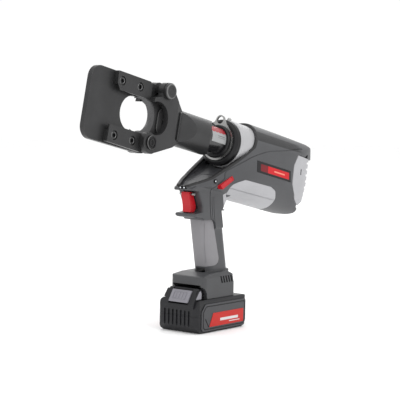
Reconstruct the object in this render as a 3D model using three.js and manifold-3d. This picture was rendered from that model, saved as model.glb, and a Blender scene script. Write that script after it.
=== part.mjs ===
// Battery-powered hydraulic cutter with a closed head that opens like a gate.
// Millimetres. +X points to the cutting head, +Y is the tool's left side, +Z is up.
// The origin is the centre of the battery's flat bottom face.
import * as THREE from "three";
import { mergeVertices } from "three/addons/utils/BufferGeometryUtils.js";
import Module from "manifold-3d";

const wasm = await Module();
wasm.setup();

// Driving dimensions ------------------------------------------------------------------------
const gap = 0.3; // clearance between neighbouring pieces
const headPitch = THREE.MathUtils.degToRad(12.3); // the head axis rises towards the front
const axisHeight = 286.65; // height of the head axis above the origin

const bladeFrame = { tip: 271, half: 51.5, low: -8, cornerRadius: 18, mouth: 25, arcCentre: 178 };
const pivot = { s: 147.6, t: -35, radius: 6, lug: 16.2 };
const latch = { s: 126, t: 43.7, radius: 6, lug: 12.5, head: 12 };
const bar = { back: 152, front: 229.5, inner: 25, outer: 51, face: 8.7, lip: 6.4, rabbet: 33 };
const screw = { near: 177, far: 216, t: 38.5, head: 6.3, shank: 4 };
const blade = { low: 0.3, high: 6, half: 28.5, arcCentre: 168, arcRadius: 24, horn: 178, back: 106 };
const yoke = { half: 18, slot: 9, slotBack: 99, neck: 26.5, neckBack: -7 };
const tube = { outer: 20.5, inner: 16, back: -58, front: 54.6 };
const rod = { radius: 9, back: -36, front: 100.8 };
const ring = { back: -28, front: -25, outer: 28.5, loopTop: 41 };
const barrel = { outer: 36.5, inner: 33.4, back: -90, front: -39.3 };
const body = { half: 40, top: 41, bottom: -82.5, wall: 2.8, rim: -84 };
const motor = { t: -44.5, outer: 29.5, inner: 24.5, back: -206, front: -142 };
const grip = { x: -2.5, z: 155, lean: 0.19, depth: 25.5, half: 16.5, corner: 13, low: 85, high: 190 };
const foot = { back: -38, front: 43, half: 32, top: 86, low: 49.4, visor: 68 };
const battery = { back: -59, front: 64, half: 37.5, flat: 56, split: 26, top: 49 };
const rail = { neck: 21.5, head: 25.5, step: 56.3, top: 64, back: -30, front: 43.4 };

// Finishes ----------------------------------------------------------------------------------
const finish = (color, roughness, metalness = 0) =>
  new THREE.MeshStandardMaterial({ color, roughness, metalness });
const blackSteel = finish(0x3c3c3e, 0.5, 0.8);
const brightSteel = finish(0x9a9a98, 0.35, 1);
const castAluminium = finish(0xa4a6a8, 0.5, 0.9);
const darkPlastic = finish(0x4d4d51, 0.6);
const blackPlastic = finish(0x1c1c1f, 0.55);
const paleGrey = finish(0xc2c2c7, 0.5);
const padGrey = finish(0x949296, 0.8);
const red = finish(0xc01f2a, 0.45);
const rubber = finish(0x222224, 0.9);
const copper = finish(0xb87333, 0.4, 1);
const clear = finish(0xe8eef2, 0.15);

// Shapes and solids -------------------------------------------------------------------------
const shapeOf = (points) => new THREE.Shape(points.map(([a, b]) => new THREE.Vector2(a, b)));

// A side outline in X and Z, thick along Y.
function slab(outline, [low, high], segments = 8) {
  const shape = Array.isArray(outline) ? shapeOf(outline) : outline;
  const options = { depth: high - low, bevelEnabled: false, curveSegments: segments };
  return new THREE.ExtrudeGeometry(shape, options).rotateX(Math.PI / 2).translate(0, high, 0);
}

// A plan outline in X and Y, thick along Z.
function tile(outline, [low, high], segments = 6) {
  const shape = Array.isArray(outline) ? shapeOf(outline) : outline;
  const options = { depth: high - low, bevelEnabled: false, curveSegments: segments };
  return new THREE.ExtrudeGeometry(shape, options).translate(0, 0, low);
}

// A section outline in Y and Z, long along X.
function beam(outline, [low, high], segments = 10) {
  const shape = Array.isArray(outline) ? shapeOf(outline) : outline;
  const options = { depth: high - low, bevelEnabled: false, curveSegments: segments };
  const turn = new THREE.Matrix4().set(0, 0, 1, low, 1, 0, 0, 0, 0, 1, 0, 0, 0, 0, 0, 1);
  return new THREE.ExtrudeGeometry(shape, options).applyMatrix4(turn);
}

function block([x0, x1], [y0, y1], [z0, z1]) {
  const box = new THREE.BoxGeometry(x1 - x0, y1 - y0, z1 - z0);
  return box.translate((x0 + x1) / 2, (y0 + y1) / 2, (z0 + z1) / 2);
}

// Round bars along X, Y and Z; the two numbers are the ends, then the place of the axis.
function barX(radius, [low, high], [y, z] = [0, 0], sides = 24) {
  const round = new THREE.CylinderGeometry(radius, radius, high - low, sides);
  return round.rotateZ(-Math.PI / 2).translate((low + high) / 2, y, z);
}

function barY(radius, [low, high], [x, z], sides = 16) {
  const round = new THREE.CylinderGeometry(radius, radius, high - low, sides);
  return round.translate(x, (low + high) / 2, z);
}

function barZ(radius, [low, high], [x, y], sides = 16) {
  const round = new THREE.CylinderGeometry(radius, radius, high - low, sides);
  return round.rotateX(Math.PI / 2).translate(x, y, (low + high) / 2);
}

// A turned piece on the X axis from [radius, x] points; a ring's profile closes on itself.
function turned(profile, sides = 28, [y, z] = [0, 0]) {
  const closed = profile[0][0] > 0 ? [...profile, profile[0]] : profile;
  const points = closed.map(([radius, along]) => new THREE.Vector2(radius, along));
  return new THREE.LatheGeometry(points, sides).rotateZ(-Math.PI / 2).translate(0, y, z);
}

// A rectangle with round corners, centred on the origin of its plane.
function roundRect(halfA, halfB, radius) {
  const shape = new THREE.Shape();
  const quarter = Math.PI / 2;
  const corners = [[1, 1, 0], [-1, 1, 1], [-1, -1, 2], [1, -1, 3]];
  corners.forEach(([a, b, turn]) => {
    const centreA = a * (halfA - radius);
    const centreB = b * (halfB - radius);
    shape.absarc(centreA, centreB, radius, turn * quarter, (turn + 1) * quarter, false);
  });
  return shape;
}

// From the head's own frame (s along the axis, t above it) to the part's frame.
const tilted = (geometry) => geometry.rotateY(-headPitch).translate(0, 0, axisHeight);
const rowPoint = (s, t) => [
  s * Math.cos(headPitch) - t * Math.sin(headPitch),
  axisHeight + s * Math.sin(headPitch) + t * Math.cos(headPitch),
];

function solid(geometry) {
  const bare = new THREE.BufferGeometry();
  bare.setAttribute("position", geometry.getAttribute("position").clone());
  if (geometry.index) bare.setIndex(geometry.index.clone());
  const merged = mergeVertices(bare, 1e-4);
  const place = merged.getAttribute("position").array;
  const corner = (i) => new THREE.Vector3().fromArray(place, 3 * i);
  let triangles = [];
  let volume = 0;
  for (let i = 0; i < merged.index.count; i += 3) {
    const [a, b, c] = [0, 1, 2].map((k) => merged.index.getX(i + k));
    if (a === b || b === c || a === c) continue;
    triangles.push([a, b, c]);
    volume += corner(a).dot(corner(b).cross(corner(c)));
  }
  if (volume < 0) triangles = triangles.map(([a, b, c]) => [a, c, b]);
  const mesh = { numProp: 3, vertProperties: place, triVerts: new Uint32Array(triangles.flat()) };
  return new wasm.Manifold(new wasm.Mesh(mesh));
}

const asSolid = (shape) => (shape.isBufferGeometry ? solid(shape) : shape);
const join = (...shapes) => shapes.map(asSolid).reduce((a, b) => a.add(b));
const cut = (shape, ...tools) => tools.map(asSolid).reduce((a, b) => a.subtract(b), asSolid(shape));
const common = (...shapes) => shapes.map(asSolid).reduce((a, b) => a.intersect(b));

const tool = new THREE.Group();
const head = new THREE.Group(); // local X is the head axis, local Z is square to it
head.position.set(0, 0, axisHeight);
head.rotation.y = -headPitch;
tool.add(head);

function place(parent, name, shape, material) {
  const { vertProperties, triVerts } = asSolid(shape).getMesh();
  const geometry = new THREE.BufferGeometry();
  geometry.setAttribute("position", new THREE.BufferAttribute(vertProperties, 3));
  geometry.setIndex(new THREE.BufferAttribute(triVerts, 1));
  geometry.computeVertexNormals();
  const mesh = new THREE.Mesh(geometry, material);
  mesh.name = name;
  parent.add(mesh);
}

const through = [-60, 60]; // longer than any piece is wide

// Blade frame: a plate with a round-ended mouth that opens back to the yoke -------------------
function bladeFrameSolid() {
  const { tip, half, low, cornerRadius, mouth, arcCentre } = bladeFrame;
  const outline = new THREE.Shape();
  outline.moveTo(latch.s, half);
  outline.lineTo(tip - cornerRadius, half);
  outline.absarc(tip - cornerRadius, half - cornerRadius, cornerRadius, Math.PI / 2, 0, true);
  outline.absarc(tip - cornerRadius, cornerRadius - half, cornerRadius, 0, -Math.PI / 2, true);
  outline.lineTo(pivot.s, -half);
  outline.lineTo(pivot.s, -mouth);
  outline.absarc(arcCentre, 0, mouth, -Math.PI / 2, Math.PI / 2, false);
  outline.lineTo(latch.s, mouth + 6);
  const plate = join(
    slab(outline, [low, 0], 12),
    barY(latch.lug, [low, 0], [latch.s, latch.t], 28),
    barY(pivot.lug, [low, 0], [pivot.s, pivot.t], 28),
  );
  // The latch notch follows the pin's path as the frame swings open about the pivot.
  const reach = Math.hypot(latch.s - pivot.s, latch.t - pivot.t);
  const angle = Math.atan2(latch.t - pivot.t, latch.s - pivot.s);
  const width = latch.radius + gap;
  const notch = new THREE.Shape();
  notch.absarc(pivot.s, pivot.t, reach + width, angle, angle + 0.35, false);
  notch.absarc(pivot.s, pivot.t, reach - width, angle + 0.35, angle, true);
  const bores = [screw.near, screw.far].flatMap((s) =>
    [-1, 1].map((side) => barY(screw.shank + gap, through, [s, side * screw.t], 12)),
  );
  return cut(
    plate,
    slab(notch, through, 8),
    barY(width, through, [latch.s, latch.t]),
    barY(pivot.radius + gap, through, [pivot.s, pivot.t]),
    ...bores,
  );
}

// Guide bars: screwed to the plate, each with a lip that holds the moving blade's edge ---------
function guideBar(side) {
  const { back, front, inner, outer, face, lip, rabbet } = bar;
  const nose = side > 0
    ? [[front - 3, outer], [front - 4, inner + 9], [front - 11, inner]]
    : [[front, outer - 1.5], [front, inner]];
  const points = [[back, inner], [back, outer - 4], [back + 5, outer], ...nose];
  const outline = points.map(([s, t]) => [s, side * t]);
  const groove = side > 0 ? [0, rabbet] : [-rabbet, 0];
  const holes = [screw.near, screw.far].flatMap((s) => [
    barY(screw.shank + gap, through, [s, side * screw.t], 12),
    barY(screw.head + gap, [face - 5.2, face + 5], [s, side * screw.t], 18),
  ]);
  return cut(
    slab(outline, [gap, face]),
    block([back - 5, front + 5], [-5, lip], groove),
    barY(pivot.radius + 1.5, through, [pivot.s, pivot.t], 18),
    ...holes,
  );
}

function socketScrew(s, t) {
  const top = bar.face - gap;
  return cut(
    join(
      barY(screw.head, [top - 4.6, top], [s, t], 18),
      barY(screw.shank, [bladeFrame.low + 0.5, top - 4], [s, t], 12),
    ),
    barY(3, [top - 2.6, top + 2], [s, t], 6),
  );
}

place(head, "fixed_blade_frame", bladeFrameSolid(), blackSteel);
place(head, "guide_bar_upper", guideBar(1), blackSteel);
place(head, "guide_bar_lower", guideBar(-1), blackSteel);
[[screw.near, 1], [screw.far, 1], [screw.near, -1], [screw.far, -1]].forEach(([s, side], index) => {
  place(head, `guide_screw_${index + 1}`, socketScrew(s, side * screw.t), blackSteel);
});

// Moving blade and its holder on the ram ------------------------------------------------------
const bladeBolt = { s: 115, radius: 4.5 };

function movingBlade() {
  const { low, high, half, arcCentre, arcRadius, horn, back } = blade;
  const outline = new THREE.Shape();
  outline.moveTo(back, -14);
  outline.lineTo(back + 16, -half);
  outline.lineTo(arcCentre - 19, -half);
  outline.lineTo(horn, -25);
  outline.absarc(arcCentre, 0, arcRadius, -1.14, 1.14, true);
  outline.lineTo(horn, 25);
  outline.lineTo(arcCentre - 19, half);
  outline.lineTo(back + 16, half);
  outline.lineTo(back, 14);
  const bevel = [[0, low + 0.5], [arcRadius - 0.1, low + 0.5], [arcRadius + 9.5, high + gap], [0, high + gap]];
  const grind = turned(bevel, 40).rotateZ(Math.PI / 2).translate(arcCentre, 0, 0);
  return cut(
    slab(outline, [low, high], 14),
    grind,
    barY(bladeBolt.radius + gap, through, [bladeBolt.s, 0], 14),
  );
}

place(head, "moving_blade", movingBlade(), brightSteel);
place(
  head,
  "blade_holder",
  cut(
    slab(
      [[rod.front + gap, -18], [126, -18], [130, -12], [130, 12], [126, 18], [rod.front + gap, 18]],
      [-8.4, 8.6],
    ),
    block([blade.back - gap, 200], [blade.low - 0.2, blade.high + 0.2], [-60, 60]),
    barY(bladeBolt.radius + gap, through, [bladeBolt.s, 0], 14),
  ),
  blackSteel,
);
place(head, "blade_bolt", barY(bladeBolt.radius, [-8.2, 8.6], [bladeBolt.s, 0], 14), brightSteel);

// Yoke: two cheeks round the blades, forged in one with the round neck ------------------------
function yokeSolid() {
  const { half, slot, slotBack, neck, neckBack } = yoke;
  const cheek = new THREE.Shape();
  cheek.moveTo(84, -23);
  cheek.lineTo(97.5, -32);
  cheek.lineTo(136, -47.6);
  cheek.absarc(pivot.s, pivot.t, pivot.lug, -2.3, 0.75, false);
  cheek.lineTo(154, -21);
  cheek.lineTo(154, 22);
  cheek.lineTo(153, 29);
  cheek.lineTo(139, 33);
  cheek.absarc(latch.s, latch.t, latch.head + 0.5, -0.4, 2.5, false);
  cheek.lineTo(97.5, 32);
  cheek.lineTo(84, 23);
  const neckProfile = [
    [0, neckBack], [21.6, neckBack], [neck, 7], [neck, 92], [0, 92],
  ];
  // Both sides are cut away: towards the cheeks, and at the rear where the tube shows.
  const frontWedge = [[58, 27.2], [84, 14.5], [89, half], [120, half], [120, 60], [58, 60]];
  const rearWedge = [[4, 7], [27, 28], [27, 60], [-20, 60], [-20, 7]];
  const flats = [-1, 1].flatMap((side) => [frontWedge, rearWedge].map(
    (wedge) => tile(wedge.map(([s, y]) => [s, side * y]), through),
  ));
  return cut(
    join(slab(cheek, [-half, half], 10), cut(turned(neckProfile, 32), ...flats)),
    block([slotBack, 220], [-slot, slot], [-70, 70]),
    barY(24, through, [142, 1], 28),
    block([142, 200], through, [-21, 22.5]),
    barX(tube.outer + gap, [-20, tube.front + gap], [0, 0], 28),
    barX(tube.outer + 1, [-20, 26], [0, 0], 28),
    barX(rod.radius + gap, [0, 120], [0, 0], 20),
    barY(latch.radius + gap, through, [latch.s, latch.t]),
    barY(pivot.radius + gap, through, [pivot.s, pivot.t]),
  );
}

place(head, "head_yoke", yokeSolid(), blackSteel);
place(
  head,
  "pivot_pin",
  join(
    barY(pivot.radius, [-21.5, 19], [pivot.s, pivot.t], 24),
    barY(10, [yoke.half + gap, 20.6], [pivot.s, pivot.t], 28),
  ),
  blackSteel,
);
place(
  head,
  "pivot_snap_ring",
  cut(
    barY(10, [-20, -yoke.half - gap], [pivot.s, pivot.t], 24),
    barY(pivot.radius + gap, through, [pivot.s, pivot.t], 24),
  ),
  brightSteel,
);
place(
  head,
  "latch_pin",
  join(
    barY(latch.radius, [-yoke.half, 19], [latch.s, latch.t], 20),
    barY(latch.head, [yoke.half + gap, 22.6], [latch.s, latch.t], 32),
    barY(latch.head - 1.4, [yoke.half + gap, 24], [latch.s, latch.t], 32),
  ),
  blackSteel,
);

// Ram: tube, rod, piston, seal and return spring ----------------------------------------------
place(
  head,
  "ram_cylinder",
  turned([[tube.inner, tube.back], [tube.outer, tube.back], [tube.outer, tube.front], [tube.inner, tube.front]]),
  blackPlastic,
);
place(
  head,
  "ram_label",
  common(
    turned([[20.75, -20.2], [21.05, -20.2], [21.05, 14], [20.75, 14]], 36),
    block([-30, 20], [2, 30], [-5.4, 18.2]),
  ),
  red,
);
place(head, "piston_rod", barX(rod.radius, [rod.back + gap, rod.front], [0, 0], 20), brightSteel);
place(
  head,
  "piston",
  turned([[0, -50], [15.6, -50], [15.6, -46], [13, -46], [13, -41], [15.6, -41], [15.6, -36], [0, -36]], 20),
  brightSteel,
);
place(head, "piston_seal", turned([[13.2, -45.8], [15.8, -45.8], [15.8, -41.2], [13.2, -41.2]], 20), rubber);

function coil(radius, wire, turns, [low, high], sides = 2, steps = 9) {
  class Helix extends THREE.Curve {
    getPoint(u, target = new THREE.Vector3()) {
      const angle = 2 * Math.PI * turns * u;
      const along = THREE.MathUtils.lerp(low, high, u);
      return target.set(along, radius * Math.cos(angle), radius * Math.sin(angle));
    }
  }
  const section = new THREE.Shape().absarc(0, 0, wire, 0, 2 * Math.PI, false);
  const options = { steps: turns * steps, extrudePath: new Helix(), curveSegments: sides };
  return new THREE.ExtrudeGeometry(section, options);
}
place(head, "return_spring", coil(12.6, 1.5, 7, [-33.8, 52.4]), brightSteel);

// Swivel: hang ring, its retainer, the collar and the bearing ----------------------------------
function hangRing() {
  const { back, front, outer, loopTop } = ring;
  const outline = new THREE.Shape();
  outline.absarc(0, loopTop - 8, 8, 0.15, Math.PI - 0.15, false);
  outline.lineTo(-21, 19);
  outline.absarc(0, 0, outer, Math.PI - 0.74, 2 * Math.PI + 0.74, false);
  return cut(
    beam(outline, [back, front], 14),
    barX(tube.outer + gap, [-60, 60], [0, 0], 28),
    barX(5.8, [-60, 60], [0, loopTop - 7.8], 18),
  );
}
place(head, "hang_ring", hangRing(), brightSteel);
place(
  head,
  "swivel_retainer",
  turned([[tube.outer + gap, -24.7], [25.4, -24.7], [25.4, -22.5], [23.5, -20.5], [tube.outer + gap, -20.5]]),
  blackSteel,
);
place(
  head,
  "collar",
  turned([[tube.outer + gap, -38.9], [35.2, -38.9], [35.5, -32], [31, -28.3], [tube.outer + gap, -28.3]], 32),
  blackPlastic,
);
place(
  head,
  "swivel_bearing",
  turned([[tube.outer + gap, -58], [33, -58], [33, -39.3], [tube.outer + gap, -39.3]], 24),
  brightSteel,
);
place(
  head,
  "pump_barrel",
  turned([
    [barrel.inner, barrel.back], [barrel.outer, barrel.back], [barrel.outer, -42],
    [barrel.outer - 1, barrel.front], [barrel.inner, barrel.front],
  ], 32),
  paleGrey,
);
place(
  head,
  "bleed_screw",
  join(barZ(3.6, [barrel.outer + gap, 39.6], [-47, 0], 6), barZ(1.8, [39, 41.2], [-47, 0], 10)),
  brightSteel,
);

// Pump, gearbox and motor, on the lower axis ---------------------------------------------------
const plunger = { s: -98, radius: 5, foot: -34.2, top: -12 };
const lower = [0, motor.t];
place(
  head,
  "pump_block",
  cut(
    join(barX(33, [-108.6, -58.4], [0, 0], 28), barX(18, [-124, -108], [0, 12], 20)),
    barZ(plunger.radius + gap, [-60, plunger.top + 2], [plunger.s, 0], 14),
    barX(tube.inner - 4, [-75, -40], [0, 0], 20),
  ),
  castAluminium,
);
place(head, "pump_plunger", barZ(plunger.radius, [plunger.foot, plunger.top], [plunger.s, 0], 14), brightSteel);
place(
  head,
  "eccentric_shaft",
  join(
    barX(5, [-109.6, -84], lower, 12),
    barX(8.4, [-104, -92], [0, motor.t + 1.6], 18),
  ),
  brightSteel,
);
place(
  head,
  "gearbox",
  turned([[5.6, -139], [28, -139], [28, -114], [20, -110], [5.6, -110]], 24, lower),
  castAluminium,
);
place(
  head,
  "motor_can",
  turned([[motor.inner, motor.back], [motor.outer, motor.back], [motor.outer, motor.front], [motor.inner, motor.front]], 24, lower),
  blackSteel,
);
place(
  head,
  "motor_rotor",
  join(
    barX(22, [motor.back + 14, motor.front - 10], lower, 24),
    barX(4, [motor.back - 12, motor.front + 2], lower, 12),
  ),
  copper,
);
place(
  head,
  "motor_fan",
  cut(barX(24, [motor.back + 2, motor.back + 12], lower, 24), barX(4 + gap, [-260, 0], lower, 12)),
  blackPlastic,
);
place(
  head,
  "oil_bladder",
  turned([[0, -178], [12, -176], [21, -168], [23, -150], [21, -126], [0, -124.6]], 18, [0, 11.5]),
  rubber,
);

// Housing halves, belly cover and rear cap ----------------------------------------------------
function bodySection(inset) {
  const radius = body.half - inset;
  const section = new THREE.Shape();
  section.absarc(0, body.top - body.half, radius, 0, Math.PI, false);
  section.absarc(0, body.bottom + body.half, radius, Math.PI, 2 * Math.PI, false);
  return tilted(beam(section, [-300, 90], 9));
}

// The plan narrows to the nose at the front and is round at the back.
function bodyPlan(inset) {
  const side = [[62, 9], [50, 15], [20, 28], [-31, 36.5], [-60, 40], [-150, 40], [-190, 38], [-216, 33.5], [-240, 25], [-255, 13]];
  const inner = side.map(([x, y]) => [x, y - inset]);
  const outline = [...inner, [-261 + inset, 0], ...inner.map(([x, y]) => [x, -y]).reverse()];
  return tile(outline, [60, 360]);
}

const noseOutline = [[54, 210.5], [58.5, 215], [57, 219.5], [20, 230.5], [-31, 254.6], [-66, 273.5]];
const crownOutline = [
  [-73, 14], [-79, 30], [body.rim, 42], [-232, 36.5], [-250, 28], [-261, 20.5], [-252, 13.5],
  [-190, 12], [-181, -6], [-183, -35], [-197, -58], [-222, -71], [-226, -77], [-216, -81],
  [-185, -83], [-62, -83],
].map(([s, t]) => rowPoint(s, t));
const handleOutline = [
  [-24.5, 179], [-28.5, 152], [23.5, 152], [26, 164], [30, 168.5], [46, 170.5], [50, 173],
  [49.5, 176.6], [31, 178], [31, 186], [41, 209.5],
];
const handleRear = [-34, 190.5];

function handleSolid() {
  const outline = [...handleOutline, [54, 210.5], [56, 214], [20, 229], [-40, 222], handleRear];
  return common(slab(outline, through), tile(roundRect(50, 19.5, 9), [140, 240], 3).translate(8, 0, 0));
}

function gripSolid(inset, [low, high]) {
  const section = roundRect(grip.depth - inset, grip.half - inset, grip.corner - inset);
  const shear = new THREE.Matrix4().makeShear(0, 0, 0, 0, 0, 0);
  shear.elements[8] = grip.lean;
  const rise = tile(section, [low - grip.z, high - grip.z], 4).applyMatrix4(shear);
  return rise.translate(grip.x, 0, grip.z);
}

const bellyOutline = [
  [-31, -65], [-46, -57], [-60, -51], [-127, -50], [-141, -54], [-151, -65], [-158, -84],
  [-150, -100], [-40, -100], [-46, -84],
].map(([s, t]) => rowPoint(s, t));

function grown(outline, amount) {
  const centreX = outline.reduce((sum, p) => sum + p[0], 0) / outline.length;
  const centreZ = outline.reduce((sum, p) => sum + p[1], 0) / outline.length;
  return outline.map(([x, z]) => {
    const reach = Math.hypot(x - centreX, z - centreZ);
    return [x + (amount * (x - centreX)) / reach, z + (amount * (z - centreZ)) / reach];
  });
}

const bodySide = slab([...noseOutline, ...crownOutline, handleRear, ...handleOutline.slice(-1)], through);
const outerBody = common(bodySide, bodySection(0), bodyPlan(0));
const bodyCore = common(bodySection(body.wall), bodyPlan(body.wall));
const gripPadZone = { low: 98, high: 165, back: -10 };

function gripPad(extra) {
  const shell = cut(
    gripSolid(-10 * extra, [gripPadZone.low - extra, gripPadZone.high + extra]),
    gripSolid(2.4 + extra, [60, 220]),
  );
  return common(shell, slab(
    [[-16 - extra, 90], [60, 90], [60, 175], [4 - extra, 175], [-1.5 - extra, 165]], through));
}

function gripSpine(extra) {
  const shell = cut(gripSolid(-10 * extra, [94 - extra, 176 + extra]), gripSolid(2.2 + extra, [60, 220]));
  return common(shell, slab([[-80, 80], [-33.5 + extra, 80], [-15 + extra, 178], [-80, 178]], through));
}

const plate = { back: -176, front: -81, low: -34, high: -17, deep: 1.4 };
const buttonOutline = [[9.5, 217.8], [-18.5, 231.2], [-23.7, 224.9], [4.3, 211.5]];
const retract = { inner: 27, outer: 37.5, travel: 2.5 };
const trigger = { half: 8.6, pinX: 44.5, pinZ: 205, pin: 2 };
const shellPocket = [
  tilted(barX(barrel.outer + gap, [-225, 80], [0, 0], 28)),
  tilted(barX(barrel.outer + 2, [-60, 80], [0, 0], 28)),
  tilted(barX(motor.outer + gap, [-209, -66], lower, 24)),
  tilted(block([-210, -66], [-24, 24], [-44, 10])),
];

function troughTool() {
  const floor = [[47, 216], [-20, 237], [-60, 250], [-60, 330], [60, 330], [60, 219]];
  return common(slab(floor, through), bodyPlan(7));
}

function housing() {
  const whole = join(outerBody, handleSolid(), gripSolid(0, [grip.low, grip.high]));
  const belly = cut(slab(grown(bellyOutline, gap), through), bodyCore);
  const handleRoom = slab(
    [[-30, 190], [-24, 166], [20, 170], [26, 176], [26, 188], [36, 212], [10, 222], [-20, 214]],
    [-15.5, 15.5],
  );
  const sides = [-1, 1].flatMap((side) => [
    tilted(block(
      [plate.back - gap, plate.front + gap],
      side > 0 ? [body.half - plate.deep, 60] : [-60, plate.deep - body.half],
      [plate.low - gap, plate.high + gap],
    )),
  ]);
  return cut(
    whole, belly, troughTool(), gripPad(gap), gripSpine(gap), handleRoom, ...shellPocket, ...sides,
    gripSolid(5.5, [60, 180]),
    slab(grown(buttonOutline, gap), [retract.inner - retract.travel - gap, 60]),
    slab([[40, 211], [28, 182], [31.3, 176.7], [70, 176.7], [70, 208], [52, 211.2]], [-9, 9]),
    barY(trigger.pin + gap, [-14, 14], [trigger.pinX, trigger.pinZ], 12),
    barY(3.4, [16, 60], [15, 224], 12),
    block([20, 40], [-2.6, 2.6], [195, 201]),
    block([45, 70], [-7.4, 7.4], [212.6, 217.4]),
    block([-12, 16], [-8, 8], [84, 92]),
  );
}

const halves = housing();
const leftHalf = block([-320, 100], [0.15, 90], [0, 400]);
const rightHalf = block([-320, 100], [-90, -0.15], [0, 400]);
place(tool, "housing_left", common(halves, leftHalf), darkPlastic);
place(tool, "housing_right", common(halves, rightHalf), darkPlastic);
place(
  tool,
  "belly_cover",
  cut(common(outerBody, slab(bellyOutline, through)), common(bodySection(body.wall - gap), bodyPlan(body.wall - gap)),
    gripSolid(-gap, [60, 230]), slab([...handleOutline, [54, 210], [10, 232], [-40, 224], handleRear], [-20, 20])),
  paleGrey,
);
place(tool, "grip_pad", gripPad(0), padGrey);
place(tool, "grip_spine", gripSpine(0), paleGrey);

// A vented cup behind the motor.
function rearCap() {
  const outline = [
    [-191, 11.6], [-234, 12.6], [-229, -30], [-219, -58], [-214.6, -65.6],
    [-197.6, -57.2], [-183.7, -35], [-181.8, -6],
  ].map(([s, t]) => rowPoint(s, t));
  const hollow = [[-150, 9], [-230.5, 9], [-225.6, -30], [-216, -57], [-209, -76], [-150, -76]]
    .map(([s, t]) => rowPoint(s, t));
  const outer = common(slab(outline, through), bodySection(0.8), bodyPlan(0.8));
  const slots = [-44, -34, -24, -14, -4, 6].map((t) =>
    tilted(block([-262, -226 - 0.16 * Math.min(0, t + 24)], [-36, 36], [t - 1.9, t + 1.9])));
  const gill = tilted(block([-208, -204], through, [-17, -8]));
  return cut(
    outer,
    common(slab(hollow, through), bodySection(3.6), bodyPlan(3.6)),
    ...slots, gill,
  );
}
place(tool, "rear_cap", rearCap(), paleGrey);

[["left", 1], ["right", -1]].forEach(([name, side]) => {
  const ends = side > 0 ? [body.half - plate.deep + gap, body.half + 0.2] : [-body.half - 0.2, plate.deep - gap - body.half];
  place(head, `name_plate_${name}`, block([plate.back, plate.front], ends, [plate.low, plate.high]), red);
});

// Controls ------------------------------------------------------------------------------------
place(
  tool,
  "retract_button",
  slab(buttonOutline, [retract.inner, retract.outer]),
  red,
);
place(
  tool,
  "trigger",
  cut(
    slab(
      [[42, 208.2], [49.4, 208.2], [48.6, 198], [46.4, 188], [46.2, 178], [37, 177.6], [33, 186]],
      [-trigger.half, trigger.half],
    ),
    barY(trigger.pin + gap, through, [trigger.pinX, trigger.pinZ], 12),
    block([30, 42.4], [-4, 4], [186, 194]),
  ),
  red,
);
place(tool, "trigger_pin", barY(trigger.pin, [-13.6, 13.6], [trigger.pinX, trigger.pinZ], 12), brightSteel);
place(tool, "trigger_spring", coil(2.6, 0.6, 3, [0, 9], 2, 7).translate(32.6, 0, 190), brightSteel);
place(tool, "power_switch", join(block([-2, 22], [-10, 10], [180, 205]), block([21, 33], [-2, 2], [196, 200])), blackPlastic);
place(tool, "control_board", block([-19, -8], [-13, 13], [188, 208]), copper);
place(tool, "status_light", barY(3, [20, 31], [15, 224], 12), clear);
place(tool, "work_light", block([49, 58.2], [-7, 7], [213, 217]), clear);

// Battery foot --------------------------------------------------------------------------------
function footSolid() {
  const { back, front, half, top, low, visor } = foot;
  const plan = new THREE.Shape();
  const middle = (front + back) / 2;
  const outline = roundRect((front - back) / 2, half, 9);
  plan.setFromPoints(outline.getPoints(6).map((p) => p.clone().setX(p.x + middle)));
  const side = [
    [back + 4, low], [33, low], [34, 58], [38, 65], [front, visor], [front, top - 4], [20, top],
    [-22, top + 1], [back + 8, top - 3], [back, low + 8],
  ];
  const socket = [
    block([rail.back - 1, front + 20], [-rail.head - 0.5, rail.head + 0.5], [rail.step - 0.3, 70]),
    block([rail.back - 1, front + 20], [-rail.neck - 0.5, rail.neck + 0.5], [40, 70]),
  ];
  return cut(
    common(tile(plan, [40, 100]), slab(side, through)),
    gripSolid(-gap, [60, 120]),
    ...socket,
    block([-8, 14], [-9, 9], [60, 95]),
  );
}
place(tool, "battery_foot", footSolid(), darkPlastic);
place(tool, "terminal_block", block([-28, -8.6], [-12, 12], [60, 69.6]), blackPlastic);

// Battery -------------------------------------------------------------------------------------
function batteryCase([low, high], hollow) {
  const { back, front, half, flat } = battery;
  const side = [[-flat, 0], [flat, 0], [front, 12], [front, 40], [front - 6, battery.top], [back + 3, battery.top], [back, 43], [back, 6]];
  const plan = roundRect((front - back) / 2, half, 8);
  const middle = (front + back) / 2;
  const shifted = new THREE.Shape(plan.getPoints(5).map((p) => p.clone().setX(p.x + middle)));
  const outer = common(slab(side, through), tile(shifted, [low, high]));
  return cut(outer, hollow);
}

function rampSolid() {
  const outline = [[43.6, 48], [43.6, 62], [47, 66], [52, 65], [62, 48]];
  return slab(outline, [-27, 27]);
}

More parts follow.
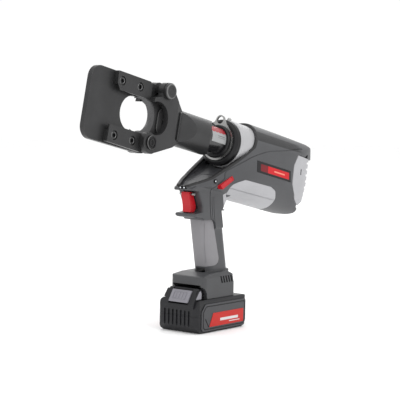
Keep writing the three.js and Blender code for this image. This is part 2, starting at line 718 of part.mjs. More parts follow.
const cellRoom = block([-53, 56], [-34, 34], [3, 46]);
place(tool, "battery_base", batteryCase([0, battery.split - 0.15], cellRoom), blackPlastic);
place(
  tool,
  "battery_cover",
  cut(
    join(
      batteryCase([battery.split + 0.15, battery.top], cellRoom),
      block([rail.back, rail.front], [-rail.neck, rail.neck], [46, rail.top]),
      block([rail.back, rail.front], [-rail.head, rail.head], [rail.step + 0.4, rail.top]),
      rampSolid(),
    ),
    block([-40, -6], [-13, 13], [58, 80]),
    tile([[48.4, -18.6], [90, -18.6], [90, 18.6], [48.4, 18.6]], [50.8, 80]),
  ),
  blackPlastic,
);
place(
  tool,
  "battery_release",
  slab([[50.4, 53.4], [50.4, 64], [53, 64], [65, 54.5], [66, 53.4]], [-18, 18]),
  padGrey,
);
[["left", 1], ["right", -1]].forEach(([name, side]) => {
  const low = battery.half + gap;
  const panel = side > 0 ? [low, low + 1.2] : [-low - 1.2, -low];
  const label = side > 0 ? [low + 1.5, low + 2] : [-low - 2, -low - 1.5];
  place(tool, `battery_panel_${name}`, slab([[-52, 5], [48, 5], [48, 31], [44, 35], [-52, 35]], panel), darkPlastic);
  place(tool, `battery_label_${name}`, slab([[-47.5, 9], [36, 9], [27, 29], [-50, 29]], label), red);
});
const cell = { radius: 9.1, length: 64, pitch: 19.6, rows: [13.4, 33.2] };
const cellPack = [-2, -1, 0, 1, 2].flatMap((column) => {
  const x = column * cell.pitch + 1.5;
  const ends = [-cell.length / 2, cell.length / 2];
  return [...cell.rows.map((z) => barY(cell.radius, ends, [x, z], 12)), block([x - 3, x + 3], [-6, 6], cell.rows)];
});
const holder = block([-44, 47], [-3, 3], [11, 15]);
place(tool, "battery_cells", join(...cellPack, holder), brightSteel);

export default tool;
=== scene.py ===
import cmath
import math

import bpy
from mathutils import Matrix, Vector


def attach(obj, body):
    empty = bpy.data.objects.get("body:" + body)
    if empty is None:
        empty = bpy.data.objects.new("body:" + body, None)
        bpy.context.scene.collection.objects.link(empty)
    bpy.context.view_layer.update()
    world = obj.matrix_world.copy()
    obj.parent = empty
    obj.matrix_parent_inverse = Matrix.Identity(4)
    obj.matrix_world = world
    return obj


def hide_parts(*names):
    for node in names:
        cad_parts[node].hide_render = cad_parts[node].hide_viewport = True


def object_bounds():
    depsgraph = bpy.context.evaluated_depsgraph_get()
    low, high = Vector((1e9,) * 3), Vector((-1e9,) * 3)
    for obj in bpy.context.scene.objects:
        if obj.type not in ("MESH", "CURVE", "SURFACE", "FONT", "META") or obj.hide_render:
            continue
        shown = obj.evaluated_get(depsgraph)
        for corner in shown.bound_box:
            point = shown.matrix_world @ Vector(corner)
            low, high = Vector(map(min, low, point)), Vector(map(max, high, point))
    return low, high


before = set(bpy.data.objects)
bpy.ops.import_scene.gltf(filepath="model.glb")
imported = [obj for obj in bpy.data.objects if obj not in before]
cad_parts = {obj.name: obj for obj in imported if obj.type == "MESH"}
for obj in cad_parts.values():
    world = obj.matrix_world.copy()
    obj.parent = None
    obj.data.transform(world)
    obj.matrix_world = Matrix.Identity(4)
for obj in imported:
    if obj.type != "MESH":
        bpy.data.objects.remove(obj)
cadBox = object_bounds()
print("frame loaded:", len(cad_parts), "nodes")

mm = 0.001
headPitch = math.radians(12.3)  # the head axis rises towards the front
axisHeight = 286.65
headPlace = Matrix.Translation((0, 0, axisHeight * mm)) @ Matrix.Rotation(-headPitch, 4, "Y")
cosPitch, sinPitch = math.cos(headPitch), math.sin(headPitch)


# Selecting and editing
def onlySelect(*pieces):
    if bpy.context.mode != "OBJECT":
        bpy.ops.object.mode_set(mode="OBJECT")
    bpy.ops.object.select_all(action="DESELECT")
    for piece in pieces:
        piece.select_set(True)
    if pieces:
        bpy.context.view_layer.objects.active = pieces[0]


def editAll(piece):
    onlySelect(piece)
    bpy.ops.object.mode_set(mode="EDIT")
    bpy.ops.mesh.select_all(action="SELECT")


def leaveEdit():
    bpy.ops.object.mode_set(mode="OBJECT")


# Edges or faces picked by their place; test gets the middle (mm) and, for a face, its normal.
def choose(piece, kind, test):
    onlySelect(piece)
    bpy.ops.object.mode_set(mode="EDIT")
    bpy.ops.mesh.select_mode(type=kind)
    bpy.ops.mesh.select_all(action="DESELECT")
    leaveEdit()
    mesh = piece.data
    if kind == "FACE":
        for face in mesh.polygons:
            face.select = test(face.center / mm, face.normal)
    else:
        for edge in mesh.edges:
            a, b = (mesh.vertices[i].co for i in edge.vertices)
            edge.select = test((a + b) / 2 / mm, (b - a).normalized())
    bpy.ops.object.mode_set(mode="EDIT")


def applied(piece, kind, **settings):
    onlySelect(piece)
    modifier = piece.modifiers.new("step", kind)
    for key, value in settings.items():
        setattr(modifier, key, value)
    bpy.ops.object.modifier_apply(modifier=modifier.name)
    return piece


def copied(piece):
    other = piece.copy()
    other.data = piece.data.copy()
    bpy.context.scene.collection.objects.link(other)
    return other


def combined(operation, piece, *others):
    for other in others:
        applied(piece, "BOOLEAN", operation=operation, object=other, solver="EXACT")
        bpy.data.objects.remove(other)
    return piece


def cut(piece, *tools):
    return combined("DIFFERENCE", piece, *tools)


def merged(piece, *others):
    return combined("UNION", piece, *others)


def common(piece, *others):
    return combined("INTERSECT", piece, *others)


# Several separate cutters in one mesh, so that one cut does the work of many.
def together(pieces):
    onlySelect(*pieces)
    bpy.ops.object.join()
    return bpy.context.object


# Outlines: lists of points in millimetres
def arc(centreA, centreB, radius, start, end, steps=16):
    turns = [start + (end - start) * k / steps for k in range(steps + 1)]
    return [(centreA + radius * math.cos(t), centreB + radius * math.sin(t)) for t in turns]


# Points are (a, b) or (a, b, radius); a radius rounds that corner.
def softOutline(points, steps=6):
    result = []
    for index, point in enumerate(points):
        here = Vector(point[:2])
        before = Vector(points[index - 1][:2]) - here
        after = Vector(points[(index + 1) % len(points)][:2]) - here
        if len(point) < 3 or before.angle(after) > 3.1:
            result.append(here[:])
            continue
        half = before.angle(after) / 2
        reach = min(point[2] / math.tan(half), before.length * 0.49, after.length * 0.49)
        radius = reach * math.tan(half)
        centre = here + (before.normalized() + after.normalized()).normalized() * (radius / math.sin(half))
        first = complex(*(here + before.normalized() * reach - centre))
        last = complex(*(here + after.normalized() * reach - centre))
        sweep = cmath.phase(last / first)
        for k in range(steps + 1):
            spot = first * cmath.exp(1j * sweep * k / steps)
            result.append((centre.x + spot.real, centre.y + spot.imag))
    return result


def rounded(points, radius, steps=5):
    return softOutline([(*point[:2], point[2] if len(point) > 2 else radius) for point in points], steps)


def rectangle(a0, a1, b0, b1, radius=0, steps=5):
    corners = [(a0, b0), (a1, b0), (a1, b1), (a0, b1)]
    return rounded(corners, radius, steps) if radius else corners


def headOutline(points):
    return [
        (p[0] * cosPitch - p[1] * sinPitch, axisHeight + p[0] * sinPitch + p[1] * cosPitch, *p[2:])
        for p in points
    ]


# A smooth line through the points, for grooves and edges that curve.
def flowing(points, steps=6):
    line = [Vector(p) for p in points]
    line = [2 * line[0] - line[1], *line, 2 * line[-1] - line[-2]]
    result = []
    for a, b, c, d in zip(line, line[1:], line[2:], line[3:]):
        for k in range(steps):
            u = k / steps
            result.append(0.5 * (2 * b + (c - a) * u + (2 * a - 5 * b + 4 * c - d) * u**2
                                 + (3 * b - a - 3 * c + d) * u**3))
    return result + [line[-2]]


def ribbon(points, width, steps=6):
    line = flowing(points, steps)
    left, right = [], []
    for index, spot in enumerate(line):
        run = line[min(index + 1, len(line) - 1)] - line[max(index - 1, 0)]
        side = Vector((-run.y, run.x)).normalized() * width / 2
        left.append((spot + side)[:])
        right.append((spot - side)[:])
    return left + right[::-1]


# Solids: an outline drawn on a plane and pushed along the third axis
placings = {
    "y": lambda a, b, along: (a, along, b),
    "z": lambda a, b, along: (a, b, along),
    "x": lambda a, b, along: (along, a, b),
}


# A piece is carried to its place and the move is applied.
def laid(piece, place):
    onlySelect(piece)
    piece.matrix_world = place
    bpy.ops.object.transform_apply(location=True, rotation=True, scale=True)
    return piece


def drawn(outline, along, at):
    onlySelect()
    bpy.ops.mesh.primitive_circle_add(vertices=len(outline), radius=mm, fill_type="NGON")
    piece = bpy.context.object
    for vertex, (a, b) in zip(piece.data.vertices, outline):
        vertex.co = Vector(placings[along](a, b, at)) * mm
    return piece


def prism(outline, low, high, along="y"):
    piece = drawn(outline, along, low)
    editAll(piece)
    rise = Vector(placings[along](0, 0, high - low)) * mm
    bpy.ops.mesh.extrude_region_move(TRANSFORM_OT_translate={"value": rise})
    bpy.ops.mesh.select_all(action="SELECT")
    bpy.ops.mesh.normals_make_consistent(inside=False)
    leaveEdit()
    return piece


# The same stretch of Y on the left (1) or the right (-1).
def spanOn(side, low, high):
    return (low, high) if side > 0 else (-high, -low)


def block(x, y, z):
    return prism(rectangle(x[0], x[1], z[0], z[1]), y[0], y[1])


def disc(radius, low, high, centre, along="y", steps=40):
    return prism(arc(*centre, radius, 0, math.tau * (1 - 1 / steps), steps - 1), low, high, along)


# A profile of (radius, place) points spun round an axis.
def turned(profile, centre=(0, 0), along="x", steps=72):
    onlySelect()
    bpy.ops.mesh.primitive_circle_add(vertices=len(profile), radius=mm, fill_type="NOTHING")
    piece = bpy.context.object
    for vertex, (radius, place) in zip(piece.data.vertices, profile):
        vertex.co = Vector(placings[along](centre[0] + radius, centre[1], place)) * mm
    editAll(piece)
    middle = Vector(placings[along](*centre, 0)) * mm
    axis = Vector(placings[along](0, 0, 1))
    bpy.ops.mesh.spin(steps=steps, angle=math.tau, center=middle, axis=axis)
    bpy.ops.mesh.select_all(action="SELECT")
    bpy.ops.mesh.remove_doubles(threshold=2e-6)
    bpy.ops.mesh.delete_loose(use_verts=True, use_edges=True, use_faces=False)
    bpy.ops.mesh.select_all(action="SELECT")
    bpy.ops.mesh.normals_make_consistent(inside=False)
    leaveEdit()
    return piece


def softEdges(piece, width, segments=2, angle=35, wornAndHighlit=False):
    settings = {"width": width * mm, "segments": segments, "limit_method": "ANGLE",
                "angle_limit": math.radians(angle), "use_clamp_overlap": True}
    # the flag puts the bevel faces in the second slot, the lighter edge steel: partly worn edge, partly
    # painted highlight
    if wornAndHighlit:
        while len(piece.data.materials) < 2:
            piece.data.materials.append(None)
        settings["material"] = 1
    return applied(piece, "BEVEL", **settings)


def rollEdges(piece, width, segments, test):
    choose(piece, "EDGE", test)
    bpy.ops.mesh.bevel(offset=width * mm, segments=segments, affect="EDGES", clamp_overlap=True)
    leaveEdit()
    return piece


# Voxel remesh and smoothing: the soft corners of a moulded shell.
def moulded(piece, voxel, passes):
    applied(piece, "REMESH", mode="VOXEL", voxel_size=voxel * mm, use_smooth_shade=True)
    return applied(piece, "SMOOTH", factor=0.5, iterations=passes)


def shrunk(piece, amount):
    editAll(piece)
    bpy.ops.transform.shrink_fatten(value=-amount * mm)
    leaveEdit()
    return piece


class Signal:
    # A value passing through the nodes; arithmetic on it adds Math nodes.
    def __init__(self, finish, socket):
        self.finish = finish
        self.socket = socket

    def math(self, operation, *values):
        return self.finish.node("ShaderNodeMath", {"operation": operation}, dict(enumerate(values)))

    def __add__(self, other):
        return self.math("ADD", self, other)

    def __sub__(self, other):
        return self.math("SUBTRACT", self, other)

    def __rsub__(self, other):
        return self.math("SUBTRACT", other, self)

    def __mul__(self, other):
        return self.math("MULTIPLY", self, other)

    __radd__ = __add__
    __rmul__ = __mul__

    # 0 below low, 1 above high
    def ramp(self, low, high):
        ends = {"From Min": low, "From Max": high}
        return self.finish.node("ShaderNodeMapRange", {"clamp": True}, {"Value": self, **ends})

    def inside(self, low, high, soft=0.3):
        return self.ramp(low - soft, low + soft) * (1 - self.ramp(high - soft, high + soft))

    def largest(self, other):
        return self.math("MAXIMUM", self, other)

    def sine(self):
        return self.math("SINE", self)


class Finish:
    def __init__(self, name, **constants):
        self.material = bpy.data.materials.new(name)
        self.material.use_nodes = True
        self.tree = self.material.node_tree
        self.tree.nodes.clear()
        self.shader = self.tree.nodes.new("ShaderNodeBsdfPrincipled")
        output = self.tree.nodes.new("ShaderNodeOutputMaterial")
        self.tree.links.new(self.shader.outputs["BSDF"], output.inputs["Surface"])
        for key, value in constants.items():
            self.shader.inputs[key.replace("_", " ")].default_value = value

    def node(self, kind, settings=None, inputs=None, output=0):
        node = self.tree.nodes.new(kind)
        for key, value in (settings or {}).items():
            setattr(node, key, value)
        for key, value in (inputs or {}).items():
            if isinstance(value, Signal):
                self.tree.links.new(value.socket, node.inputs[key])
            else:
                node.inputs[key].default_value = value
        return Signal(self, node.outputs[output])

    def place(self, location=(0, 0, 0), rotation=(0, 0, 0), scale=(1, 1, 1)):
        spot = self.node("ShaderNodeTexCoord", output="Object")
        inputs = {"Vector": spot, "Location": location, "Rotation": rotation, "Scale": scale}
        return self.node("ShaderNodeMapping", None, inputs)

    # x, y, z in millimetres in the part's frame
    def millimetres(self):
        spot = self.place(scale=(1000, 1000, 1000))
        return [self.node("ShaderNodeSeparateXYZ", None, {0: spot}, k) for k in range(3)]

    # the same along the head axis: along it, to the side, above it
    def headMillimetres(self):
        x, y, z = self.millimetres()
        z = z - axisHeight
        return x * cosPitch + z * sinPitch, y, z * cosPitch - x * sinPitch

    def noise(self, scale, detail=3, stretch=(1, 1, 1)):
        inputs = {"Vector": self.place(scale=stretch), "Scale": scale, "Detail": detail}
        return self.node("ShaderNodeTexNoise", None, inputs)

    def blend(self, factor, low, high):
        inputs = {0: factor}
        for socket, tone in ((6, low), (7, high)):
            inputs[socket] = tone if isinstance(tone, Signal) else (*tone, 1)
        return self.node("ShaderNodeMix", {"data_type": "RGBA"}, inputs, 2)

    def feed(self, socket, signal):
        self.tree.links.new(signal.socket, self.shader.inputs[socket])
        return self

    def bump(self, height, strength, depth):
        inputs = {"Height": height, "Strength": strength, "Distance": depth * mm}
        return self.feed("Normal", self.node("ShaderNodeBump", None, inputs))


def shade(colour, factor):
    return tuple(min(1, part * factor) for part in colour)


# Moulded plastic: spark-eroded grain, a slight cloudiness of colour and gloss.
def plastic(name, colour, roughness, grain=0.25, grainSize=1500, cloud=0.12, **constants):
    finish = Finish(name, **constants)
    fine = finish.noise(grainSize, 2)
    wide = finish.noise(26, 3).ramp(0.35, 0.65)
    finish.feed("Base Color", finish.blend(wide, shade(colour, 1 - cloud), shade(colour, 1 + cloud)))
    finish.feed("Roughness", fine * 0.12 + wide * 0.06 + (roughness - 0.09))
    return finish.bump(fine, grain, 0.08)


# Metal: base colour clouds, a fine grain that may be drawn out in one direction.
def metal(name, colour, roughness, metallic=1.0, grain=0.15, stretch=(1, 1, 1), size=900, cloud=0.15):
    finish = Finish(name, Metallic=metallic)
    fine = finish.noise(size, 3, stretch)
    wide = finish.noise(34, 4).ramp(0.3, 0.7)
    finish.feed("Base Color", finish.blend(wide, shade(colour, 1 - cloud), shade(colour, 1 + cloud)))
    finish.feed("Roughness", fine * 0.16 + wide * 0.08 + (roughness - 0.12))
    return finish.bump(fine, grain, 0.06)


toneBlackSteel = (0.036, 0.036, 0.037)
blackSteel = metal("black oxide steel", toneBlackSteel, 0.42, 0.55, 0.22, size=1100)
# lighter steel for bevel faces and rims: partly the real worn edge of the black oxide, partly a painted
# highlight along the edges
wornAndHighlitSteel = metal("black steel, worn edge with painted highlight", (0.15, 0.15, 0.15), 0.36, 0.8, 0.1)
screwSteel = metal("black screw steel", (0.022, 0.022, 0.023), 0.36, 0.7, 0.1)
bladeSteel = metal("ground blade steel", (0.10, 0.10, 0.102), 0.3, 0.9, 0.3, (12, 1, 1), 260)
brightSteel = metal("bright steel", (0.34, 0.34, 0.335), 0.3, 1.0, 0.12, (1, 6, 1), 300)
castMetal = metal("cast aluminium", (0.42, 0.43, 0.44), 0.5, 0.9, 0.5, size=700)
tubePaint = plastic("black tube paint", (0.009, 0.009, 0.010), 0.28, 0.06, Coat_Weight=0.4)
blackPlastic = plastic("black plastic", (0.008, 0.008, 0.009), 0.42, 0.35, Specular_IOR_Level=0.28)
batteryPlastic = plastic("battery black plastic", (0.010, 0.010, 0.012), 0.44, 0.3, Specular_IOR_Level=0.32)
panelPlastic = plastic("battery panel plastic", (0.036, 0.037, 0.041), 0.46, 0.3)
footPlastic = plastic("foot grey plastic", (0.042, 0.043, 0.046), 0.46, 0.3)
palePlastic = plastic("pale grey plastic", (0.36, 0.36, 0.375), 0.42, 0.2, cloud=0.04)
barrelPaint = plastic("silver grey barrel paint", (0.38, 0.38, 0.39), 0.4, 0.9, 520, cloud=0.06)
padRubber = plastic("grey grip rubber", (0.20, 0.195, 0.205), 0.62, 0.6, 1100, cloud=0.05)
releasePlastic = plastic("release grey plastic", (0.20, 0.195, 0.22), 0.4, 0.2, cloud=0.05)
redPlastic = plastic("red plastic", (0.40, 0.006, 0.012), 0.36, 0.15, cloud=0.06, Specular_IOR_Level=0.35)
sealRubber = plastic("seal rubber", (0.018, 0.018, 0.018), 0.7, 0.5, 700)
boardGreen = plastic("circuit board", (0.03, 0.14, 0.06), 0.4, 0.2)
copperWire = metal("copper winding", (0.62, 0.27, 0.13), 0.35, 1.0, 0.9, (1, 9, 9), 160)
lensClear = plastic("clear lens", (0.80, 0.84, 0.88), 0.1, 0.02, cloud=0.03, Coat_Weight=0.5)


# Housing: dark grey plastic with a black band painted along the nose's top edge as the shade under the barrel
# and collar, and a dark ribbed band on the shoulder.
housingLook = {
    "grey": (0.047, 0.048, 0.052), "rubber": (0.010, 0.010, 0.011),
    "pale": (0.36, 0.36, 0.375), "lip": 3.2,
    "shoulder": {"low": 13.6, "high": 28.6, "back": -204, "front": -70, "rib": 2.6},
}


def housingFinish():
    look = housingLook
    finish = Finish("dark grey housing plastic")
    x, _, z = finish.millimetres()
    s, _, t = finish.headMillimetres()
    edges = [((57, 219.5), (20, 230.5)), ((20, 230.5), (-31, 254.6)), ((-31, 254.6), (-66, 273.5))]
    below = None
    for (x0, z0), (x1, z1) in edges:
        length = math.hypot(x1 - x0, z1 - z0)
        a, b = (z1 - z0) / length, (x0 - x1) / length
        line = x * a + z * b - (a * x0 + b * z0)
        inside = line if b < 0 else 0 - line
        below = inside if below is None else below.largest(inside)
    behind = (-73 - s) + (14 - t) * 0.36  # how far behind the crown's front rim
    # painted shade: a black band within a few millimetres of the nose's top edge and the crown's front rim,
    # under the barrel
    lip = 1 - below.largest(behind).ramp(look["lip"] - 0.3, look["lip"] + 0.3)
    band = look["shoulder"]
    low = t - (s + 79) * -0.028 - band["low"]
    shoulder = low.ramp(-0.3, 0.3) * (1 - t.ramp(band["high"] - 0.3, band["high"] + 0.3))
    shoulder = shoulder * s.ramp(band["back"], band["back"] + 14)
    # the dark colour covers the painted shade band under the barrel and the shoulder band
    rubber = lip.largest(shoulder)
    fine = finish.noise(1500, 2)
    wide = finish.noise(22, 3).ramp(0.35, 0.65)
    grey = finish.blend(wide, shade(look["grey"], 0.93), shade(look["grey"], 1.07))
    throat = 1 - (x - (z - 179) * 0.15).ramp(-20.4, -20.0)
    throat = throat * z.ramp(152, 156) * (1 - (z + x * 0.55).ramp(191.8, 192.8)) * x.ramp(-41, -40)
    grey = finish.blend(throat, grey, look["pale"])
    # painted shading of the ribs: the crests are painted lighter and the grooves darker than the band's own
    # colour
    ribs = ((s * (math.tau / band["rib"])).sine() * 0.5 + 0.5) * shoulder
    black = finish.blend(ribs, shade(look["rubber"], 0.7), shade(look["rubber"], 2.2))
    finish.feed("Base Color", finish.blend(rubber, grey, black))
    finish.feed("Roughness", fine * 0.12 + rubber * 0.12 + 0.38)
    return finish.bump(fine * 0.4 + ribs * 2.0, 0.4, 0.25)


housingPlastic = housingFinish()


# Printed film on the ram tube: red above, silver below, with plain stripes.
def tubeLabelFinish():
    finish = Finish("tube label film", Coat_Weight=0.4)
    s, _, t = finish.headMillimetres()
    stripes = t.inside(4.2, 5.2, 0.15).largest(t.inside(1.8, 2.4, 0.15)) * s.inside(-16, 0, 0.2)
    fine = finish.noise(600, 2)
    silver = finish.blend(fine, (0.24, 0.245, 0.25), (0.33, 0.335, 0.34))
    silver = finish.blend(stripes, silver, (0.06, 0.06, 0.06))
    tooth = (s * 0.8).sine() * 0.5
    finish.feed("Base Color", finish.blend((t + tooth).ramp(9.4, 9.8), silver, (0.30, 0.012, 0.02)))
    return finish.feed("Roughness", fine * 0.1 + 0.3)


# Name plate: black frame, a dark red and a bright red field, no lettering.
def namePlateFinish():
    finish = Finish("name plate film", Specular_IOR_Level=0.25)
    x, _, _ = finish.millimetres()
    _, _, t = finish.headMillimetres()
    field = t.inside(-30.9, -20.4, 0.2) * x.inside(-160.0, -84.3, 0.2)
    bright = 1 - x.ramp(-103.6, -103.0)
    marks = t.inside(-26.8, -24.6, 0.2) * x.inside(-148, -120, 0.3)
    fine = finish.noise(700, 2)
    red = finish.blend(bright, (0.15, 0.004, 0.008), (0.50, 0.004, 0.008))
    red = finish.blend(marks * bright, red, (0.72, 0.22, 0.16))
    finish.feed("Base Color", finish.blend(field, (0.005, 0.005, 0.006), red))
    return finish.feed("Roughness", fine * 0.08 + 0.28)


# Battery label: red film with plain pale bars where markings would be.
def batteryLabelFinish():
    finish = Finish("battery label film", Specular_IOR_Level=0.25)
    x, _, z = finish.millimetres()
    bars = z.inside(16, 20, 0.2) * x.inside(-34, 10, 0.3)
    bars = bars.largest(z.inside(12.6, 13.8, 0.15) * x.inside(-38, -12, 0.3))
    fine = finish.noise(700, 2)
    red = finish.blend(fine, (0.44, 0.014, 0.010), (0.48, 0.018, 0.012))
    finish.feed("Base Color", finish.blend(bars, red, (0.60, 0.60, 0.60)))
    return finish.feed("Roughness", fine * 0.1 + 0.3)


tubeLabelFilm = tubeLabelFinish()
namePlateFilm = namePlateFinish()
batteryLabelFilm = batteryLabelFinish()
print("finishes made:", len(bpy.data.materials))


# A finished piece is handed over to the frame.
def deliver(piece, name, body, finishes, inHead=False, smooth=32):
    onlySelect(piece)
    piece.name = name
    piece.data.name = name
    if inHead:
        piece.matrix_world = headPlace @ piece.matrix_world
    bpy.ops.object.transform_apply(location=True, rotation=True, scale=True)
    finishes = finishes if isinstance(finishes, list) else [finishes]
    kept = [face.material_index for face in piece.data.polygons]
    piece.data.materials.clear()
    for finish in finishes:
        piece.data.materials.append(finish.material)
    for face, index in zip(piece.data.polygons, kept):
        face.material_index = min(index, len(finishes) - 1)
    bpy.ops.object.shade_smooth_by_angle(angle=math.radians(smooth))
    applied(piece, "WEIGHTED_NORMAL", keep_sharp=True)
    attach(piece, body)
    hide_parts(name)
    return piece


def paint(piece, index, test):
    while len(piece.data.materials) <= index:
        piece.data.materials.append(None)
    for face in piece.data.polygons:
        if test(face.center / mm, face.normal):
            face.material_index = index
    return piece


# Cutting head
pivot = {"s": 147.6, "t": -35, "radius": 6, "lug": 16.2}
latch = {"s": 126, "t": 43.7, "radius": 6, "lug": 12.5, "head": 12}
pivotSpot, latchSpot = (pivot["s"], pivot["t"]), (latch["s"], latch["t"])
plateLook = {"tip": 271, "half": 51.5, "low": -8, "corner": 18, "mouth": 25, "arcCentre": 178,
             "roll": 2.0, "screws": (177, 216), "screwRow": 38.5}


def bladeFramePiece():
    look = plateLook
    outline = softOutline([
        (latch["s"], look["half"]), (look["tip"], look["half"], look["corner"]),
        (look["tip"], -look["half"], look["corner"]), (pivot["s"], -look["half"]),
        (pivot["s"], -look["mouth"]),
        *arc(look["arcCentre"], 0, look["mouth"], -math.pi / 2, math.pi / 2, 36),
        (latch["s"], look["mouth"] + 6),
    ], 12)
    plate = merged(
        prism(outline, look["low"], 0),
        disc(latch["lug"], look["low"], 0, latchSpot),
        disc(pivot["lug"], look["low"], 0, pivotSpot),
    )
    reach = math.hypot(latch["s"] - pivot["s"], latch["t"] - pivot["t"])
    angle = math.atan2(latch["t"] - pivot["t"], latch["s"] - pivot["s"])
    width = latch["radius"] + 0.3
    slot = arc(*pivotSpot, reach + width, angle, angle + 0.35, 12)
    slot += arc(*pivotSpot, reach - width, angle + 0.35, angle, 12)
    cutters = [prism(slot, -20, 20), disc(width, -20, 20, latchSpot),
               disc(pivot["radius"] + 0.3, -20, 20, pivotSpot)]
    cutters += [disc(4.3, -20, 20, (s, side * look["screwRow"])) for s in look["screws"] for side in (-1, 1)]
    plate = cut(plate, *cutters)

    def outerRim(middle, run):
        s, y, t = middle
        onFace = abs(y) < 0.05 or abs(y - look["low"]) < 0.05
        straight = s > 162 and abs(t) > look["half"] - 0.1
        along, across = s - look["tip"] + look["corner"], abs(t) - look["half"] + look["corner"]
        corner = along > 0 and math.hypot(along, across) > look["corner"] - 0.3
        return onFace and (straight or s > look["tip"] - 0.1 or corner)

    rollEdges(plate, look["roll"], 1, outerRim)
    # the plate's chamfer faces get the lighter edge steel: partly worn edge, partly painted highlight
    softEdges(plate, 0.3, 1, 25, wornAndHighlit=True)
    deliver(plate, "fixed_blade_frame", "blade_frame", [blackSteel, wornAndHighlitSteel], inHead=True)


barLook = {"back": 152, "front": 229.5, "inner": 25, "outer": 51, "face": 8.7, "lip": 6.4, "rabbet": 33,
           "boreWide": 6.6, "boreDeep": 5.2}


def guideBarPiece(name, side):
    look = barLook
    nose = [(226.5, look["outer"]), (225.5, look["inner"] + 9), (218.5, look["inner"])]
    if side < 0:
        nose = [(look["front"], look["outer"] - 1.5), (look["front"], look["inner"])]
    corners = [(look["back"], look["inner"]), (look["back"], look["outer"] - 4),
               (look["back"] + 5, look["outer"]), *nose]
    bar = prism(rounded([(s, side * t) for s, t in corners], 0.8, 3), 0.3, look["face"])
    groove = (0, look["rabbet"]) if side > 0 else (-look["rabbet"], 0)
    cutters = [block((look["back"] - 5, look["front"] + 5), (-5, look["lip"]), groove),
               disc(pivot["radius"] + 1.5, -20, 20, pivotSpot)]
    for s in plateLook["screws"]:
        place = (s, side * plateLook["screwRow"])
        cutters.append(disc(4.3, -20, 20, place))
        cutters.append(disc(look["boreWide"], look["face"] - look["boreDeep"], 20, place))
    # the bar's chamfer faces get the lighter edge steel: partly worn edge, partly painted highlight
    bar = softEdges(cut(bar, *cutters), 0.45, 2, 35, wornAndHighlit=True)
    deliver(bar, name, "blade_frame", [blackSteel, wornAndHighlitSteel], inHead=True)


screwLook = {"radius": 5.9, "top": 8.2, "deep": 4.6, "socket": 3.1, "socketDeep": 3, "shank": 4}


def guideScrewPiece(index, s, t):
    look = screwLook
    top, low = look["top"], look["top"] - look["deep"]
    r = look["radius"]
    shank, socket = look["shank"], look["socket"]
    profile = [(0, -7.4), (shank - 0.6, -7.4), (shank, -6.8), (shank, low), (r - 0.3, low), (r, low + 0.3),
               (r, top - 0.9), (r - 0.9, top), (socket + 0.9, top), (socket + 0.4, top - 0.4), (0, top - 0.4)]
    screw = placeY(turned(profile, steps=40), (s, t))
    screw = cut(screw, disc(socket, top - look["socketDeep"], top + 5, (s, t), "y", 6))
    # the head's top chamfer gets the lighter edge steel: partly worn edge, partly painted highlight
    paint(screw, 1, lambda middle, normal: middle.y > top - 0.95 and abs(normal.y) < 0.9 and normal.y > 0.2)
    deliver(screw, f"guide_screw_{index}", "blade_frame", [screwSteel, wornAndHighlitSteel], inHead=True)


bladeLook = {"low": 0.3, "high": 6, "half": 28.5, "arcCentre": 168, "arcRadius": 24, "horn": 178, "back": 106}


def movingBladePiece():
    look = bladeLook
    centre = look["arcCentre"]
    outline = [(look["back"], -14), (look["back"] + 16, -look["half"]), (centre - 19, -look["half"]),
               (look["horn"], -25), *arc(centre, 0, look["arcRadius"], -1.14, -math.tau + 1.14, 48),
               (look["horn"], 25), (centre - 19, look["half"]), (look["back"] + 16, look["half"]),
               (look["back"], 14)]
    edge = look["arcRadius"] - 0.1
    grind = turned([(0, look["low"] + 0.5), (edge, look["low"] + 0.5), (edge + 9.5, look["high"] + 0.3),
                    (0, look["high"] + 0.3)], steps=96)
    placeY(grind, (centre, 0))
    blade = cut(prism(outline, look["low"], look["high"]), grind, disc(4.8, -20, 20, (115, 0)))
    softEdges(blade, 0.2, 1, 40)
    paint(blade, 1, lambda middle, normal: 0.2 < abs(normal.y) < 0.95 and middle.x > 130)
    deliver(blade, "moving_blade", "ram", [blackSteel, bladeSteel], inHead=True)


def bladeHolderPiece():
    corners = [(101.1, -18), (126, -18), (130, -12), (130, 12), (126, 18), (101.1, 18)]
    holder = cut(prism(rounded(corners, 1.2, 3), -8.4, 8.6),
                 block((105.7, 200), (0.1, 6.2), (-60, 60)), disc(4.8, -20, 20, (115, 0)))
    # the holder's chamfer faces get the lighter edge steel: partly worn edge, partly painted highlight
    softEdges(holder, 0.4, 2, 35, wornAndHighlit=True)
    deliver(holder, "blade_holder", "ram", [blackSteel, wornAndHighlitSteel], inHead=True)
    bolt = cut(disc(4.5, -8.2, 8.6, (115, 0)), disc(2.4, 5.6, 12, (115, 0), "y", 6))
    softEdges(bolt, 0.4, 2, 50)
    deliver(bolt, "blade_bolt", "ram", [screwSteel], inHead=True)


yokeLook = {"half": 18, "slot": 9, "slotBack": 99, "neck": 26.5, "neckBack": -7, "edge": 0.9,
            "neckFront": [(58, 27.2), (84, 14.5), (89.5, 18), (120, 18), (120, 60), (58, 60)],
            "neckRear": [(4, 7), (27, 28), (27, 60), (-20, 60), (-20, 7)],
            "cheek": [(78, 13), (84, 14), (100, 18), (100, 60), (78, 60)]}


